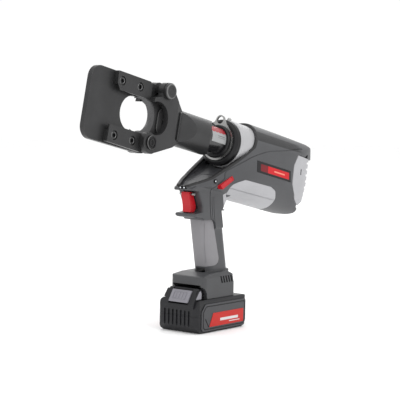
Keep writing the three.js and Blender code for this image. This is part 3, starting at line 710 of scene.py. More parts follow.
def yokePiece():
    look = yokeLook
    half = look["half"]
    outline = [(84, -23), (97.5, -32), (136, -47.6),
               *arc(*pivotSpot, pivot["lug"], -2.3, 0.75, 24),
               (154, -21), (154, 22), (153, 29), (139, 33),
               *arc(*latchSpot, latch["head"] + 0.5, -0.4, 2.5, 24), (97.5, 32), (84, 23)]
    back, radius = look["neckBack"], look["neck"]
    neck = turned([(0, back), (21.6, back), (23, back + 1), (radius, 6), (radius, 92), (0, 92)], steps=96)

    # flats on both sides, cut by outlines in plan
    def bothSides(*flats):
        return [prism([(s, side * y) for s, y in flat], -60, 60, "z") for flat in flats for side in (-1, 1)]

    neck = cut(neck, *bothSides(look["neckFront"], look["neckRear"]))
    yoke = merged(cut(prism(outline, -half, half), *bothSides(look["cheek"])), neck)
    yoke = cut(
        yoke,
        disc(21.5, -20, 26, (0, 0), "x", 72),
        block((look["slotBack"], 220), (-look["slot"], look["slot"]), (-70, 70)),
        disc(24, -60, 60, (142, 1), "y", 80),
        block((142, 200), (-60, 60), (-21, 22.5)),
        disc(20.8, -20, 54.9, (0, 0), "x", 72),
        disc(9.3, -20, 120, (0, 0), "x", 48),
        disc(6.3, -60, 60, latchSpot),
        disc(6.3, -60, 60, pivotSpot),
    )
    softEdges(yoke, look["edge"], 2, 24)
    deliver(yoke, "head_yoke", "head", [blackSteel, wornAndHighlitSteel], inHead=True, smooth=28)


def pinPieces():
    head = latch["head"]
    pin = turned([(0, -18), (5.4, -18), (6, -17.4), (6, 18.3), (head - 0.5, 18.3), (head, 18.8), (head, 22.2),
                  (head - 1, 23.2), (head - 1.6, 23.9), (head - 3, 24), (5, 24), (4.6, 23.7), (4.2, 24),
                  (0, 24)], steps=72)
    # the head's rounded rim gets the lighter edge steel: partly worn edge, partly painted highlight
    paint(pin, 1, lambda middle, normal: middle.x > 23.1 and math.hypot(middle.y, middle.z) > head - 2.4)
    placeY(pin, latchSpot)
    deliver(pin, "latch_pin", "latch", [blackSteel, wornAndHighlitSteel], inHead=True)
    post = turned([(0, -21.5), (5.2, -21.5), (6, -20.7), (6, 18.3), (10, 18.3), (10, 20), (9.4, 20.6),
                   (7.6, 20.6),
                   (7.2, 19.6), (5.8, 19.6), (5.4, 20.4), (3.4, 20.4), (2.8, 19.2), (0, 19.2)], steps=64)
    # the head's rim chamfer gets the lighter edge steel: partly worn edge, partly painted highlight
    paint(post, 1, lambda middle, normal: 8.9 < math.hypot(middle.y, middle.z) < 9.9 and middle.x > 20)
    placeY(post, pivotSpot)
    post = cut(post, block((pivot["s"] - 11, pivot["s"] - 8.2), (19, 22), (-37, -33)))
    deliver(post, "pivot_pin", "head", [screwSteel, wornAndHighlitSteel], inHead=True)
    ring = turned([(6.3, -20), (10, -20), (10, -18.3), (6.3, -18.3)], steps=56)
    placeY(ring, pivotSpot)
    ring = cut(ring, block((pivot["s"] + 3, pivot["s"] + 14), (-22, -17), (-36.5, -33.5)))
    softEdges(ring, 0.25, 2, 40)
    deliver(ring, "pivot_snap_ring", "head", brightSteel, inHead=True)


# A piece turned about X is laid along Y at a pin's place.
def placeY(piece, at):
    turn = Matrix.Rotation(math.pi / 2, 4, "Z")
    return laid(piece, Matrix.Translation((at[0] * mm, 0, at[1] * mm)) @ turn)


bladeFramePiece()
guideBarPiece("guide_bar_upper", 1)
guideBarPiece("guide_bar_lower", -1)
for index, (s, side) in enumerate(((177, 1), (216, 1), (177, -1), (216, -1))):
    guideScrewPiece(index + 1, s, side * plateLook["screwRow"])
movingBladePiece()
bladeHolderPiece()
yokePiece()
pinPieces()
print("cutting head made")


def turnedHeadPiece(name, finish, profile):
    piece = turned(profile, steps=96)
    deliver(piece, name, "head", finish, inHead=True, smooth=28)


turnedHeadPiece("ram_cylinder", tubePaint, [
    (16, -58), (20.5, -58), (20.5, -14.2), (20.2, -13.9), (20.5, -13.6), (20.5, 53.6), (19.8, 54.6),
    (16, 54.6)])
turnedHeadPiece("swivel_retainer", blackPlastic, [
    (20.8, -24.7), (24.9, -24.7), (25.4, -24.2), (25.4, -22.7), (23.7, -20.6), (23.2, -20.5), (20.8, -20.5)])
turnedHeadPiece("collar", blackPlastic, [
    (20.8, -38.9), (34.8, -38.9), (35.3, -38.4), (35.4, -36.2), (34.9, -35.9), (34.9, -35.3), (35.5, -35),
    (35.5, -32.4), (35.1, -31.4), (31.6, -28.6), (30.8, -28.3), (27, -28.3), (26.4, -28.9), (24, -28.9),
    (23.4, -28.3), (20.8, -28.3)])
turnedHeadPiece("pump_barrel", barrelPaint, [
    (33.4, -90), (36.5, -90), (36.5, -43.4), (36.2, -43.1), (36.2, -42.5), (36.4, -42.1), (36.1, -40.4),
    (35.2, -39.3), (33.4, -39.3)])


def tubeLabelPiece():
    label = turned([(20.75, -20.2), (21.05, -20.2), (21.05, 14), (20.75, 14)], steps=120)
    label = common(label, block((-30, 20), (2, 30), (-5.4, 18.2)))
    deliver(label, "ram_label", "head", tubeLabelFilm, inHead=True)


ringLook = {"back": -28, "front": -25, "outer": 28.5, "loopTop": 41, "hole": 5.8}


def hangRingPiece():
    look = ringLook
    outline = arc(0, look["loopTop"] - 8, 8, 0.15, math.pi - 0.15, 24)
    outline += flowing([(-9.8, 31), (-15, 25.5), (-21, 19.2)], 5)
    outline += arc(0, 0, look["outer"], math.pi - 0.74, math.tau + 0.74, 72)
    outline += flowing([(21, 19.2), (15, 25.5), (9.8, 31)], 5)
    ring = prism([tuple(p) for p in outline], look["back"], look["front"], "x")
    ring = cut(ring, disc(20.8, -60, 60, (0, 0), "x", 80), disc(look["hole"], -60, 60, (0, 33.2), "x", 40))
    softEdges(ring, 0.7, 3, 40)
    deliver(ring, "hang_ring", "ring", brightSteel, inHead=True)


def bleedScrewPiece():
    screw = merged(disc(3.6, 36.8, 39.4, (-47, 0), "z", 6), disc(1.9, 39, 41, (-47, 0), "z", 24))
    softEdges(screw, 0.35, 2, 40)
    deliver(screw, "bleed_screw", "head", brightSteel, inHead=True)


def rodPiece():
    rod = turned([(0, -35.7), (8.4, -35.7), (9, -35.1), (9, 99.8), (8, 100.8), (0, 100.8)], steps=48)
    deliver(rod, "piston_rod", "ram", brightSteel, inHead=True)


tubeLabelPiece()
hangRingPiece()
bleedScrewPiece()
rodPiece()
print("swivel end made")


# Body shell: nose and handle lines are (x, z); crown, belly and cap lines run along and above the head axis.
bodyLook = {"half": 40, "top": 41, "bottom": -82.5, "wall": 2.8, "rim": -84, "voxel": 1.25, "smoothing": 5,
            "motorAxis": -44.5}
planStations = [(62, 9), (50, 15), (20, 28), (-31, 36.5), (-60, 39.6), (-100, 40), (-150, 40), (-190, 38),
                (-216, 33.5), (-240, 25), (-255, 15), (-264, 11)]
planEnd = -261
nose = [(54, 210.5), (58.5, 215), (57, 219.5), (20, 230.5), (-31, 254.6), (-66, 273.5)]
crown = [(-73, 14), (-79, 30), (bodyLook["rim"], 42), (-232, 36.5), (-250, 28), (-261, 20.5), (-252, 13.5),
         (-190, 12), (-181, -6), (-183, -35), (-197, -58), (-222, -71), (-226, -77), (-216, -81), (-185, -83),
         (-62, -83)]
handleFront = [(50, 173), (49.5, 176.6), (31, 178), (31, 186), (41, 209.5)]
handleUnder = [(-24.5, 179), (-28.5, 152), (23.5, 152), (26, 164), (30, 168.5), (46, 170.5)]
handleRear = (-34, 190.5)
bellyOutline = [(-31, -65, 10), (-46, -57, 8), (-60, -51, 8), (-127, -50, 12), (-141, -54, 10),
                (-151, -65, 10),
                (-158, -84), (-150, -100), (-40, -100), (-46, -84)]
gripLook = {"x": -2.5, "z": 155, "lean": 0.19, "depth": 25.5, "half": 16.5, "corner": 13, "low": 85,
            "high": 190}
grooveLook = {"width": 1.3, "deep": 0.9, "gap": 0.55}
crease = [(-205, 24.5), (-190, 21.3), (-149, 11), (-110, 2.7), (-86, -5.6), (-63, -16.4), (-40, -30.5),
          (-16, -46.5)]
creaseFront = [(-3, 227.6), (8, 220.5), (13.6, 212), (14.6, 200), (13.8, 186), (11.5, 168), (8.4, 152)]


def bodySection(inset):
    radius = bodyLook["half"] - inset
    high, low = bodyLook["top"] - bodyLook["half"], bodyLook["bottom"] + bodyLook["half"]
    outline = arc(0, high, radius, 0, math.pi, 48) + arc(0, low, radius, math.pi, math.tau, 48)
    return laid(prism(outline, -300, 90, "x"), headPlace)


def bodyPlan(inset, low=60, high=360):
    side = [(x, y - inset) for x, y in flowing([*planStations, (planEnd + inset, 0.5 + inset)], 5)]
    side = [(x, max(y, 0.4)) for x, y in side]
    return prism(side + [(x, -y) for x, y in reversed(side)], low, high, "z")


def gripSolid(inset, low, high):
    look = gripLook
    outline = rectangle(-look["depth"] + inset, look["depth"] - inset, -look["half"] + inset,
                        look["half"] - inset,
                        look["corner"] - inset, 10)
    grip = prism([(a, b) for a, b in outline], low, high, "z")
    lean = Matrix.Identity(4)
    lean[0][2] = look["lean"]
    grip.data.transform(lean)
    grip.data.transform(Matrix.Translation(((look["x"] - look["lean"] * look["z"]) * mm, 0, 0)))
    return grip


# An upright prism with a rounded plan.
def planPrism(back, front, half, radius, steps, low, high):
    return prism(rectangle(back, front, -half, half, radius, steps), low, high, "z")


def sidePrism(points, radius=0, low=-60, high=60):
    return prism(rounded(points, radius) if radius else points, low, high)


def shellSolid():
    side = [(*p, 3) for p in nose] + [(*p, 5) for p in headOutline(crown)] + [handleRear, handleFront[-1]]
    outer = common(sidePrism(softOutline(side, 4)), bodySection(0), bodyPlan(0))
    handleSide = handleUnder + handleFront + [(54, 210.5), (56, 214), (20, 229), (-40, 222), handleRear]
    handle = common(
        sidePrism(rounded(handleSide, 3, 3)),
        prism([(x + 8, y) for x, y in rectangle(-50, 50, -19.5, 19.5, 9, 8)], 140, 240, "z"),
    )
    trough = common(
        sidePrism([(47, 216), (-20, 237), (-60, 250), (-60, 330), (60, 330), (60, 219)]),
        bodyPlan(7),
    )
    shell = merged(outer, handle, gripSolid(0, gripLook["low"], gripLook["high"]))
    barrelRoom = turnedTool([(0, -60), (38.5, -60), (38.5, 80), (0, 80)])
    return cut(shell, trough, barrelRoom)


def turnedTool(profile, lower=False, steps=96):
    return laid(turned(profile, (0, bodyLook["motorAxis"] if lower else 0), "x", steps), headPlace)


def headBlock(s, y, t):
    return laid(block(s, y, t), headPlace)


# Grooves and shallow recesses: a side outline pushed through, less the shell shrunk by their depth.
def skinTool(outlines, core):
    tools = together([sidePrism(outline) for outline in outlines])
    return cut(tools, copied(core))


def halvesOf(shell):
    left, right = shell, copied(shell)
    for half, side in ((left, 1), (right, -1)):
        editAll(half)
        bpy.ops.mesh.bisect(plane_co=(0, side * 0.15 * mm, 0), plane_no=(0, side, 0), use_fill=True,
                            clear_inner=True, clear_outer=False)
        leaveEdit()
    return left, right


padCorners = [(-15.5, 97.6, 9), (12, 94), (60, 94), (60, 165.4), (3.2, 165.4, 7)]
buttonCorners = [(9.5, 217.8), (-18.5, 231.2), (-23.7, 224.9), (4.3, 211.5)]


def plateOutline(grow):
    corners = [Vector(p) for p in headOutline([(-176, -34), (-81, -34), (-81, -17), (-176, -17)])]
    xs = sorted(p.x for p in corners)
    x0, x1 = xs[1] - 0.5 - grow, xs[2] + 0.5 + grow
    low = lambda x: line(corners[0], corners[1], x) + 0.2 - grow
    high = lambda x: line(corners[3], corners[2], x) - 0.2 + grow
    return [(x0, low(x0)), (x1, low(x1)), (x1, high(x1)), (x0, high(x0))]


def line(a, b, x):
    return a.y + (b.y - a.y) * (x - a.x) / (b.x - a.x)


def grown(outline, amount):
    centreA = sum(p[0] for p in outline) / len(outline)
    centreB = sum(p[1] for p in outline) / len(outline)
    result = []
    for point in outline:
        reach = math.hypot(point[0] - centreA, point[1] - centreB)
        scale = 1 + amount / reach
        result.append((centreA + (point[0] - centreA) * scale, centreB + (point[1] - centreB) * scale,
                       *point[2:]))
    return result


roomLook = {
    "handle": [(-30, 190), (-24, 166), (20, 170), (26, 176), (26, 188), (36, 212), (10, 222), (-20, 214)],
    "trigger": [(40, 211), (28, 182), (31.3, 176.7), (70, 176.7), (70, 208), (52, 211.2)],
}


def housingPieces():
    look = grooveLook
    shell = moulded(shellSolid(), bodyLook["voxel"], bodyLook["smoothing"])
    core = shrunk(copied(shell), look["deep"])
    print("shell faces:", len(shell.data.polygons))
    belly = softOutline(headOutline(grown(bellyOutline, look["gap"])), 6)
    inner = common(bodySection(bodyLook["wall"]), bodyPlan(bodyLook["wall"]))
    creaseLine = headOutline(crease) + creaseFront
    grooves = [ribbon(creaseLine, look["width"], 6)]
    for shift in (4.6, 9.0):
        grooves.append(ribbon([(x - shift, z) for x, z in creaseFront[3:]], 0.9, 5))
    shallow = skinTool(grooves, core)
    plateRoom = skinTool([plateOutline(0.5)], core)
    padRoom = cut(sidePrism(softOutline(grown(padCorners, 0.35), 8)), gripSolid(2.7, 60, 220))
    spineRoom = cut(
        sidePrism([(-80, 93.6), (-30.9, 93.6), (-14.6, 176.4), (-14.6, 178), (-80, 178)]),
        gripSolid(2.5, 60, 220),
    )
    handleRoom = prism(roomLook["handle"], -15.5, 15.5)
    triggerRoom = prism(roomLook["trigger"], -9, 9)
    rooms = [
        cut(sidePrism(belly), inner), padRoom, spineRoom, handleRoom, triggerRoom, shallow, plateRoom,
        turnedTool([(0, -225), (36.8, -225), (36.8, 80), (0, 80)]),
        turnedTool([(0, -209), (29.8, -209), (29.8, -66), (0, -66)], True),
        headBlock((-210, -66), (-24, 24), (-44, 10)),
        gripSolid(5.5, 60, 180),
        prism(rounded(grown(buttonCorners, 0.4), 1.5, 4), 24.2, 60),
        disc(3.5, 16, 60, (15, 224)),
        block((20, 40), (-2.6, 2.6), (195, 201)),
        block((45, 70), (-7.4, 7.4), (212.6, 217.4)),
        block((-12, 16), (-8, 8), (84, 92)),
    ]
    shell = cut(shell, *rooms)
    bpy.data.objects.remove(core)
    left, right = halvesOf(shell)
    deliver(left, "housing_left", "housing", housingPlastic, smooth=30)
    deliver(right, "housing_right", "housing", housingPlastic, smooth=30)
    print("housing faces:", len(left.data.polygons), len(right.data.polygons))


housingPieces()


def bellyPiece():
    outline = softOutline(headOutline(bellyOutline), 6)
    belly = common(sidePrism(outline), bodySection(0.1), bodyPlan(0.1))
    handleSide = handleUnder + handleFront + [(54, 210.5), (10, 232), (-40, 224), handleRear]
    belly = cut(belly, common(bodySection(3.1), bodyPlan(3.1)), sidePrism(handleSide, 0, -20, 20),
                gripSolid(-0.3, 60, 230))
    seam = headOutline([(-34, -68.4), (-90, -68), (-150, -67.4)])
    core = common(bodySection(0.8), bodyPlan(0.8))
    groove = cut(sidePrism(ribbon(seam, 0.9, 6)), core)
    belly = cut(belly, groove)
    softEdges(belly, 0.8, 3, 40)
    deliver(belly, "belly_cover", "housing", palePlastic, smooth=28)


capLook = {"outline": [(-191, 11.6, 1), (-234, 12.6, 2), (-229, -30, 30), (-219, -58, 8), (-214.6, -65.6, 2),
                       (-197.6, -57.2, 8), (-183.7, -35, 12), (-181.8, -6, 10)],
           "hollow": [(-150, 9), (-230.5, 9), (-225.6, -30), (-216, -57), (-209, -76), (-150, -76)],
           "slots": (-44, -34, -24, -14, -4, 6), "slotHalf": 1.9}


def rearCapPiece():
    look = capLook
    cap = common(sidePrism(softOutline(headOutline(look["outline"]), 6)), bodySection(0.8), bodyPlan(0.8))
    softEdges(cap, 1.4, 3, 30)
    hollow = common(sidePrism(headOutline(look["hollow"])), bodySection(3.6), bodyPlan(3.6))
    slots = [headBlock((-262, -226 - 0.16 * min(0, t + 24)), (-36, 36),
                       (t - look["slotHalf"], t + look["slotHalf"]))
             for t in look["slots"]]
    cap = cut(cap, hollow, *slots, headBlock((-208, -204), (-60, 60), (-17, -8)))
    deliver(cap, "rear_cap", "housing", palePlastic, smooth=28)


def namePlatePiece(name, side):
    plate = prism(plateOutline(0), *spanOn(side, 38.9, 40.1))
    softEdges(plate, 0.4, 2, 40)
    deliver(plate, name, "housing", namePlateFilm)


def padPiece():
    pad = cut(gripSolid(0, 90, 170), gripSolid(2.4, 60, 220))
    pad = common(pad, sidePrism(softOutline(padCorners, 8)))
    ridge = cut(sidePrism(ribbon([(19.6, 160), (15.8, 130), (10.5, 100)], 0.7, 5)), gripSolid(0.5, 60, 220))
    pad = cut(pad, ridge)
    softEdges(pad, 0.7, 3, 40)
    deliver(pad, "grip_pad", "housing", padRubber, smooth=28)
    spine = cut(gripSolid(-0.35, 94, 206), gripSolid(2.2, 60, 230))
    spine = common(spine, sidePrism([(-80, 80), (-33.5, 80), (-17.5, 165), (-19, 206), (-80, 206)]))
    softEdges(spine, 0.6, 3, 40)
    deliver(spine, "grip_spine", "housing", palePlastic, smooth=28)


def buttonPiece():
    button = prism(rounded(buttonCorners, 1.4, 5), 27, 35.6)
    rollEdges(button, 0.9, 3, lambda middle, run: middle.y > 35.5)
    dimple = prism(rounded(grown(buttonCorners, -2.6), 1.2, 4), 35.2, 40)
    button = cut(button, dimple)
    softEdges(button, 0.25, 2, 40)
    deliver(button, "retract_button", "retract", redPlastic)


triggerLook = {"half": 7.4,
               "front": [(49.4, 208.2), (50.0, 204), (48.4, 196), (46.6, 188), (46.3, 182), (46.6, 178.2)],
               "back": [(37.4, 177.8), (34, 182), (33.4, 187), (37, 197), (42, 208.2)]}


def triggerPiece():
    look = triggerLook
    front = [tuple(p) for p in flowing(look["front"], 5)]
    trigger = prism(front + look["back"], -look["half"], look["half"])
    trigger = cut(trigger, disc(2.3, -60, 60, (44.5, 205)), block((30, 42.4), (-4, 4), (186, 194)))
    rollEdges(trigger, 2.6, 5, lambda middle, run: middle.x > 44 and abs(abs(middle.y) - look["half"]) < 0.05
              and 178 < middle.z < 208.1 and math.hypot(middle.x - 44.5, middle.z - 205) > 2.6)
    softEdges(trigger, 0.4, 2, 40)
    deliver(trigger, "trigger", "trigger", redPlastic)


lampLook = {
    "indicator": [(0, 20), (3, 20), (3, 29.9), (2.7, 30.3), (1.7, 30.4), (1.3, 29.8), (1.1, 30.0),
                  (0.7, 30.5),
                  (0, 30.8)],
    "bezel": [(0, 50), (1.95, 50), (1.95, 56.6), (1.7, 57.0), (1.5, 56.6), (1.2, 57.4), (0.6, 58.0),
              (0, 58.2)],
}


def lampPieces():
    indicator = turned(lampLook["indicator"], steps=40)
    paint(indicator, 1, lambda middle, normal: math.hypot(middle.y, middle.z) > 1.2)
    placeY(indicator, (15, 224))
    deliver(indicator, "status_light", "housing", [lensClear, blackPlastic])
    base = block((49, 55.6), (-7, 7), (213, 217))
    lamp = merged(base, *[turned(lampLook["bezel"], (y, 215), "x", 32) for y in (-3.5, 3.5)])
    paint(lamp, 1, lambda middle, normal: middle.x < 57.6)
    softEdges(lamp, 0.12, 1, 50)
    deliver(lamp, "work_light", "housing", [lensClear, blackPlastic])


bellyPiece()
rearCapPiece()
namePlatePiece("name_plate_left", 1)
namePlatePiece("name_plate_right", -1)
padPiece()
buttonPiece()
triggerPiece()
lampPieces()
print("body and controls made")


# Battery foot
footLook = {"back": -38, "front": 43, "half": 32, "top": 86, "low": 49.4, "visor": 68,
            "shoulder": [(24, 90), (32.5, 80), (40, 80), (40, 95), (24, 95)],
            "vents": 6, "firstVent": -35.5, "ventPitch": 6.1, "ventWide": 3.4, "ventLean": 3.8,
            "ventLow": 70.5, "ventHigh": 81, "ventFloor": 26.6,
            "collar": {"back": -45.1, "front": 9.9, "half": 18.5, "corner": 14, "low": 80, "high": 88.5}}


def footPiece():
    look = footLook
    back, front, low, top = look["back"], look["front"], look["low"], look["top"]
    profile = [(back + 4, low), (33, low), (34, 58, 3), (38, 65, 4), (front, look["visor"], 2),
               (front, top - 4, 5), (20, top, 8), (-22, top + 1, 8), (back + 8, top - 3, 6),
               (back, low + 8, 3)]
    foot = common(sidePrism(softOutline(profile, 4)), planPrism(back, front, look["half"], 9, 6, 40, 100))
    # the shoulders slope in towards the grip
    slopes = [prism([(sign * y, z) for y, z in look["shoulder"]], -60, 60, "x") for sign in (-1, 1)]
    room = [block((-31, 63), (-26, 26), (56, 70)), block((-31, 63), (-22, 22), (40, 60)),
            block((-8, 14), (-9, 9), (69, 95))]
    vents = []
    wide, lean, floor = look["ventWide"], look["ventLean"], look["ventFloor"]
    for k in range(look["vents"]):
        x = look["firstVent"] + look["ventPitch"] * k
        slot = [(x, look["ventLow"]), (x + wide, look["ventLow"]), (x + wide + lean, look["ventHigh"]),
                (x + lean, look["ventHigh"])]
        vents += [prism(slot, *spanOn(side, floor, 40)) for side in (1, -1)]
    for tool in (*slopes, *room, *vents):
        foot = cut(foot, tool)
    softEdges(foot, 0.9, 2, 24)
    collar = cut(gripCollar(), gripSolid(-0.3, 60, 120))
    foot = together([cut(foot, gripSolid(-0.3, 60, 120)), collar])
    deliver(foot, "battery_foot", "housing", footPlastic, smooth=28)


# A low collar where the grip stands in the foot.
def gripCollar():
    look = footLook["collar"]
    collar = planPrism(look["back"], look["front"], look["half"], look["corner"], 10, look["low"],
                       look["high"])
    return rollEdges(collar, 1.5, 3, lambda middle, run: middle.z > look["high"] - 0.1)


# Battery
batteryLook = {
    "back": -59, "front": 64, "half": 37.5, "split": 26, "top": 49, "gap": 0.15,
    "side": [(54, 0, 4), (64, 12, 8), (64, 36, 3), (55, 49, 3), (-56, 49, 3), (-59, 43, 3), (-59, 10, 5),
             (-50, 0, 3)],
    "chamfers": [[(33.1, -1), (38.5, 4.1), (40.5, -1)], [(33.1, 50), (38.5, 44.7), (40.5, 50)]],
    "room": ((-53, 56), (-34, 34), (3, 46)), "coverRoom": ((-53, 55), (-34, 34), (3, 46)),
    "flutes": 7, "flutePitch": 7.6, "fluteHalf": 2.1, "fluteLow": 1.2, "fluteHigh": 34,
    "ramp": [(43.6, 40), (43.6, 62.5), (46.5, 66), (49.6, 64.6), (63.6, 41.5), (63.6, 34)],
    "rampSlope": [(22, 72), (25.5, 66), (30.2, 40), (50, 40), (50, 72)],
    "pocket": [(48.0, 80), (48.0, 57.4), (57.6, 42.6), (66, 42.6), (90, 60), (90, 80)],
    "ear": [(45, 50.5), (45, 59), (47.5, 63.6), (50.5, 61), (57.5, 51.5), (57.6, 50.5)],
    "earSpan": (26, 30.8),
}


def casePart(low, high):
    look = batteryLook
    plan = planPrism(look["back"], look["front"], look["half"], 8, 7, low, high)
    case = common(sidePrism(softOutline(look["side"], 4)), plan)
    for sign in (-1, 1):
        for chamfer in look["chamfers"]:
            case = cut(case, prism([(sign * y, z) for y, z in chamfer], -80, 80, "x"))
    return case


# Shallow flutes between the ribs of the front and rear faces.
def ribTool():
    look = batteryLook
    low, high, half = look["fluteLow"], look["fluteHigh"], look["fluteHalf"]
    front = [(62.2, high), (70, high), (70, -6), (50, -6), (50, low), (57, low), (62.2, low + 6)]
    flutes = []
    for k in range(look["flutes"]):
        y = (k - look["flutes"] // 2) * look["flutePitch"]
        flutes.append(prism(rounded(front, 1, 3), y - half, y + half))
        flutes.append(block((-66, -57.6), (y - half, y + half), (12, high)))
    return together(flutes)


def batteryPieces():
    look = batteryLook
    base = softEdges(casePart(0, look["split"] - look["gap"]), 0.7, 2, 30)
    base = cut(base, block(*look["room"]), ribTool())
    deliver(base, "battery_base", "battery", batteryPlastic, smooth=28)
    cover = casePart(look["split"] + look["gap"], look["top"])
    rail = merged(block((-30, 43.4), (-21.5, 21.5), (46, 64)), block((-30, 43.4), (-25.5, 25.5), (56.7, 64)))
    ramp = prism(rounded(look["ramp"], 1.5, 3), -30, 30)
    for sign in (-1, 1):
        ramp = cut(ramp, prism([(sign * y, z) for y, z in look["rampSlope"]], 20, 80, "x"))
    softEdges(ramp, 1.0, 3, 50)
    softEdges(cover, 0.7, 2, 30)
    cover = merged(cover, rail, ramp)
    cover = cut(cover, block(*look["coverRoom"]), block((-40, -6), (-13, 13), (58, 80)), ribTool(),
                prism(look["pocket"], -18.6, 18.6))
    ears = [softEdges(prism(rounded(look["ear"], 1.6, 5), *spanOn(side, *look["earSpan"])), 0.8, 2, 40)
            for side in (-1, 1)]
    cover = together([cover, *ears])
    paint(cover, 1, lambda middle, normal: middle.x > 44.9 and middle.z > 50.4 and abs(middle.y) > 29.2)
    deliver(cover, "battery_cover", "battery", [batteryPlastic, releasePlastic], smooth=28)


releaseLook = {"half": 18, "foot": (62.6, 46.8), "head": (52.6, 62.6), "bars": 4}


def releasePiece():
    look = releaseLook
    foot, head = look["foot"], look["head"]
    outline = [(foot[0] - 2.4, foot[1] - 1.6), (foot[0] + 0.4, foot[1] - 1.8), foot, head,
               (head[0] - 2.2, head[1] - 0.4), (head[0] - 2.2, head[1] - 3)]
    release = prism(rounded(outline, 0.6, 3), -look["half"], look["half"])
    softEdges(release, 0.5, 2, 45)
    slope = math.atan2(head[1] - foot[1], foot[0] - head[0])
    middle = ((foot[0] + head[0]) / 2, (foot[1] + head[1]) / 2)
    lie = Matrix.Translation((middle[0] * mm, 0, middle[1] * mm)) @ Matrix.Rotation(slope, 4, "Y")

    # raised bars stand in a sunk field on the slanted face
    release = cut(release, laid(block((-6.4, 6.4), (-12.5, 12.5), (-0.5, 5)), lie))
    bars = []
    for k in range(look["bars"]):
        y = -9 + 6 * k
        bar = block((-5.4, 5.4), (y - 1.5, y + 1.5), (-0.9, 0.1))
        softEdges(bar, 0.3, 2, 40)
        bars.append(laid(bar, lie))
    release = merged(release, *bars)
    deliver(release, "battery_release", "release", releasePlastic)


panelLook = {"outer": [(-50, 3), (50, 3), (53.5, 7), (53.5, 33), (45, 43.5, 3), (-54, 43.5, 4), (-54, 11, 3)],
             "groove": [(-47.6, 5.4), (47, 5.4), (50.6, 9), (50.6, 32), (43.5, 40.6, 2), (-51.6, 40.6, 3),
                        (-51.6, 12, 2)],
             "field": [(-46.8, 6.9), (46, 6.9), (49.1, 10), (49.1, 31.4), (42.8, 39.1, 2), (-50.1, 39.1, 3),
                       (-50.1, 12.6, 2)],
             "notch": [(44.4, 22), (36.2, 9.4), (37.6, 8.6), (46.2, 21.4)], "low": 37.4, "high": 38.9}


def sidePanel(name, side):
    look = panelLook

    def slab(points, low, high):
        return prism(softOutline(points, 5), *spanOn(side, low, high))

    panel = slab(look["outer"], look["low"], look["high"])
    rollEdges(panel, 0.7, 2, lambda middle, run: abs(abs(middle.y) - look["high"]) < 0.05)
    groove = cut(slab(look["groove"], look["high"] - 0.8, 45), slab(look["field"], 30, 50))
    panel = cut(panel, groove, slab(look["notch"], look["high"] - 0.7, 45))
    paint(panel, 1, lambda middle, normal: abs(middle.y) < look["high"] - 0.6 and abs(middle.x) < 53)
    deliver(panel, name, "battery", [panelPlastic, blackPlastic])


def labelPiece(name, side):
    outline = softOutline([(-47.5, 9, 1), (36, 9, 0.6), (27, 29, 0.6), (-47.5, 29, 1)], 3)
    label = prism(outline, *spanOn(side, 39.0, 39.5))
    softEdges(label, 0.12, 1, 50)
    deliver(label, name, "battery", batteryLabelFilm)


footPiece()
batteryPieces()
releasePiece()
sidePanel("battery_panel_left", 1)
sidePanel("battery_panel_right", -1)
labelPiece("battery_label_left", 1)
labelPiece("battery_label_right", -1)
print("foot and battery made")


# Finishes of the nodes carried over from the frame
carriedOver = {
    castMetal: ("pump_block", "gearbox"),
    blackSteel: ("motor_can",),
    brightSteel: ("swivel_bearing", "pump_plunger", "eccentric_shaft", "piston", "return_spring",
                  "trigger_pin",
                  "trigger_spring", "battery_cells"),
    sealRubber: ("piston_seal", "oil_bladder"),
    blackPlastic: ("motor_fan", "power_switch", "terminal_block"),
    copperWire: ("motor_rotor",),
    boardGreen: ("control_board",),
}
for finish, names in carriedOver.items():
    for name in names:
        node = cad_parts[name]
        node.data.materials.clear()
        node.data.materials.append(finish.material)


# Floor, light and camera
studio = {"floorHalf": 7.0, "tone": (0.98, 0.98, 0.98), "world": 1.04}
view = {"lens": 135, "target": (0.0142, 0, 0.1943), "distance": 2.2481, "azimuth": 51.8, "elevation": 4.5,
        "roll": 1.1}


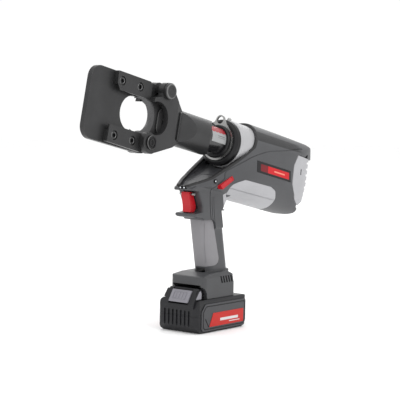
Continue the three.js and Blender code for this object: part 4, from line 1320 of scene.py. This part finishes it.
def floorPiece():
    onlySelect()
    bpy.ops.mesh.primitive_circle_add(vertices=96, radius=studio["floorHalf"], fill_type="NGON",
                                      location=(0, 0, cadBox[0][2] - 0.0002))
    floor = bpy.context.object
    floor.name = "studio_floor"
    finish = Finish("studio floor", Roughness=0.9)
    paper = finish.noise(2.5, 2)
    finish.feed("Base Color", finish.blend(paper, shade(studio["tone"], 0.99), studio["tone"]))
    floor.data.materials.append(finish.material)


def softLight(name, place, size, power, target=(0, 0, 0.22), tone=(1, 1, 1)):
    onlySelect()
    bpy.ops.object.light_add(type="AREA", location=place)
    light = bpy.context.object
    light.name = name
    light.data.shape = "RECTANGLE"
    light.data.size, light.data.size_y = size
    light.data.energy = power
    light.data.color = tone
    aim = Vector(place) - Vector(target)
    light.rotation_euler = aim.to_track_quat("Z", "Y").to_euler()


def studioWorld():
    world = bpy.data.worlds.new("studio")
    world.use_nodes = True
    world.node_tree.nodes["Background"].inputs["Color"].default_value = (*studio["tone"], 1)
    world.node_tree.nodes["Background"].inputs["Strength"].default_value = studio["world"]
    bpy.context.scene.world = world


def cameraView():
    theta, phi, roll = (math.radians(view[key]) for key in ("azimuth", "elevation", "roll"))
    back = Vector((math.sin(theta) * math.cos(phi), math.cos(theta) * math.cos(phi), math.sin(phi)))
    right = Vector((0, 0, 1)).cross(back).normalized()
    up = back.cross(right)
    tiltedRight = right * math.cos(roll) + up * math.sin(roll)
    tiltedUp = up * math.cos(roll) - right * math.sin(roll)
    onlySelect()
    bpy.ops.object.camera_add()
    camera = bpy.context.object
    camera.name = "studio_camera"
    camera.data.lens = view["lens"]
    camera.data.clip_start = 0.05
    camera.data.clip_end = 50
    turn = Matrix((tiltedRight, tiltedUp, back)).transposed().to_4x4()
    camera.matrix_world = Matrix.Translation(Vector(view["target"]) + back * view["distance"]) @ turn
    bpy.context.scene.camera = camera


floorPiece()
studioWorld()
softLight("key", (0.6, 2.2, 1.9), (1.6, 1.6), 20)
softLight("front fill", (2.4, 0.4, 0.9), (1.4, 1.8), 6)
softLight("top", (-0.3, 0.2, 2.4), (2.2, 2.2), 12)
softLight("rear rim", (-1.8, -1.2, 1.5), (1.4, 1.2), 8)
cameraView()
bpy.context.scene.view_settings.view_transform = "Standard"
print("studio set")

onlySelect()
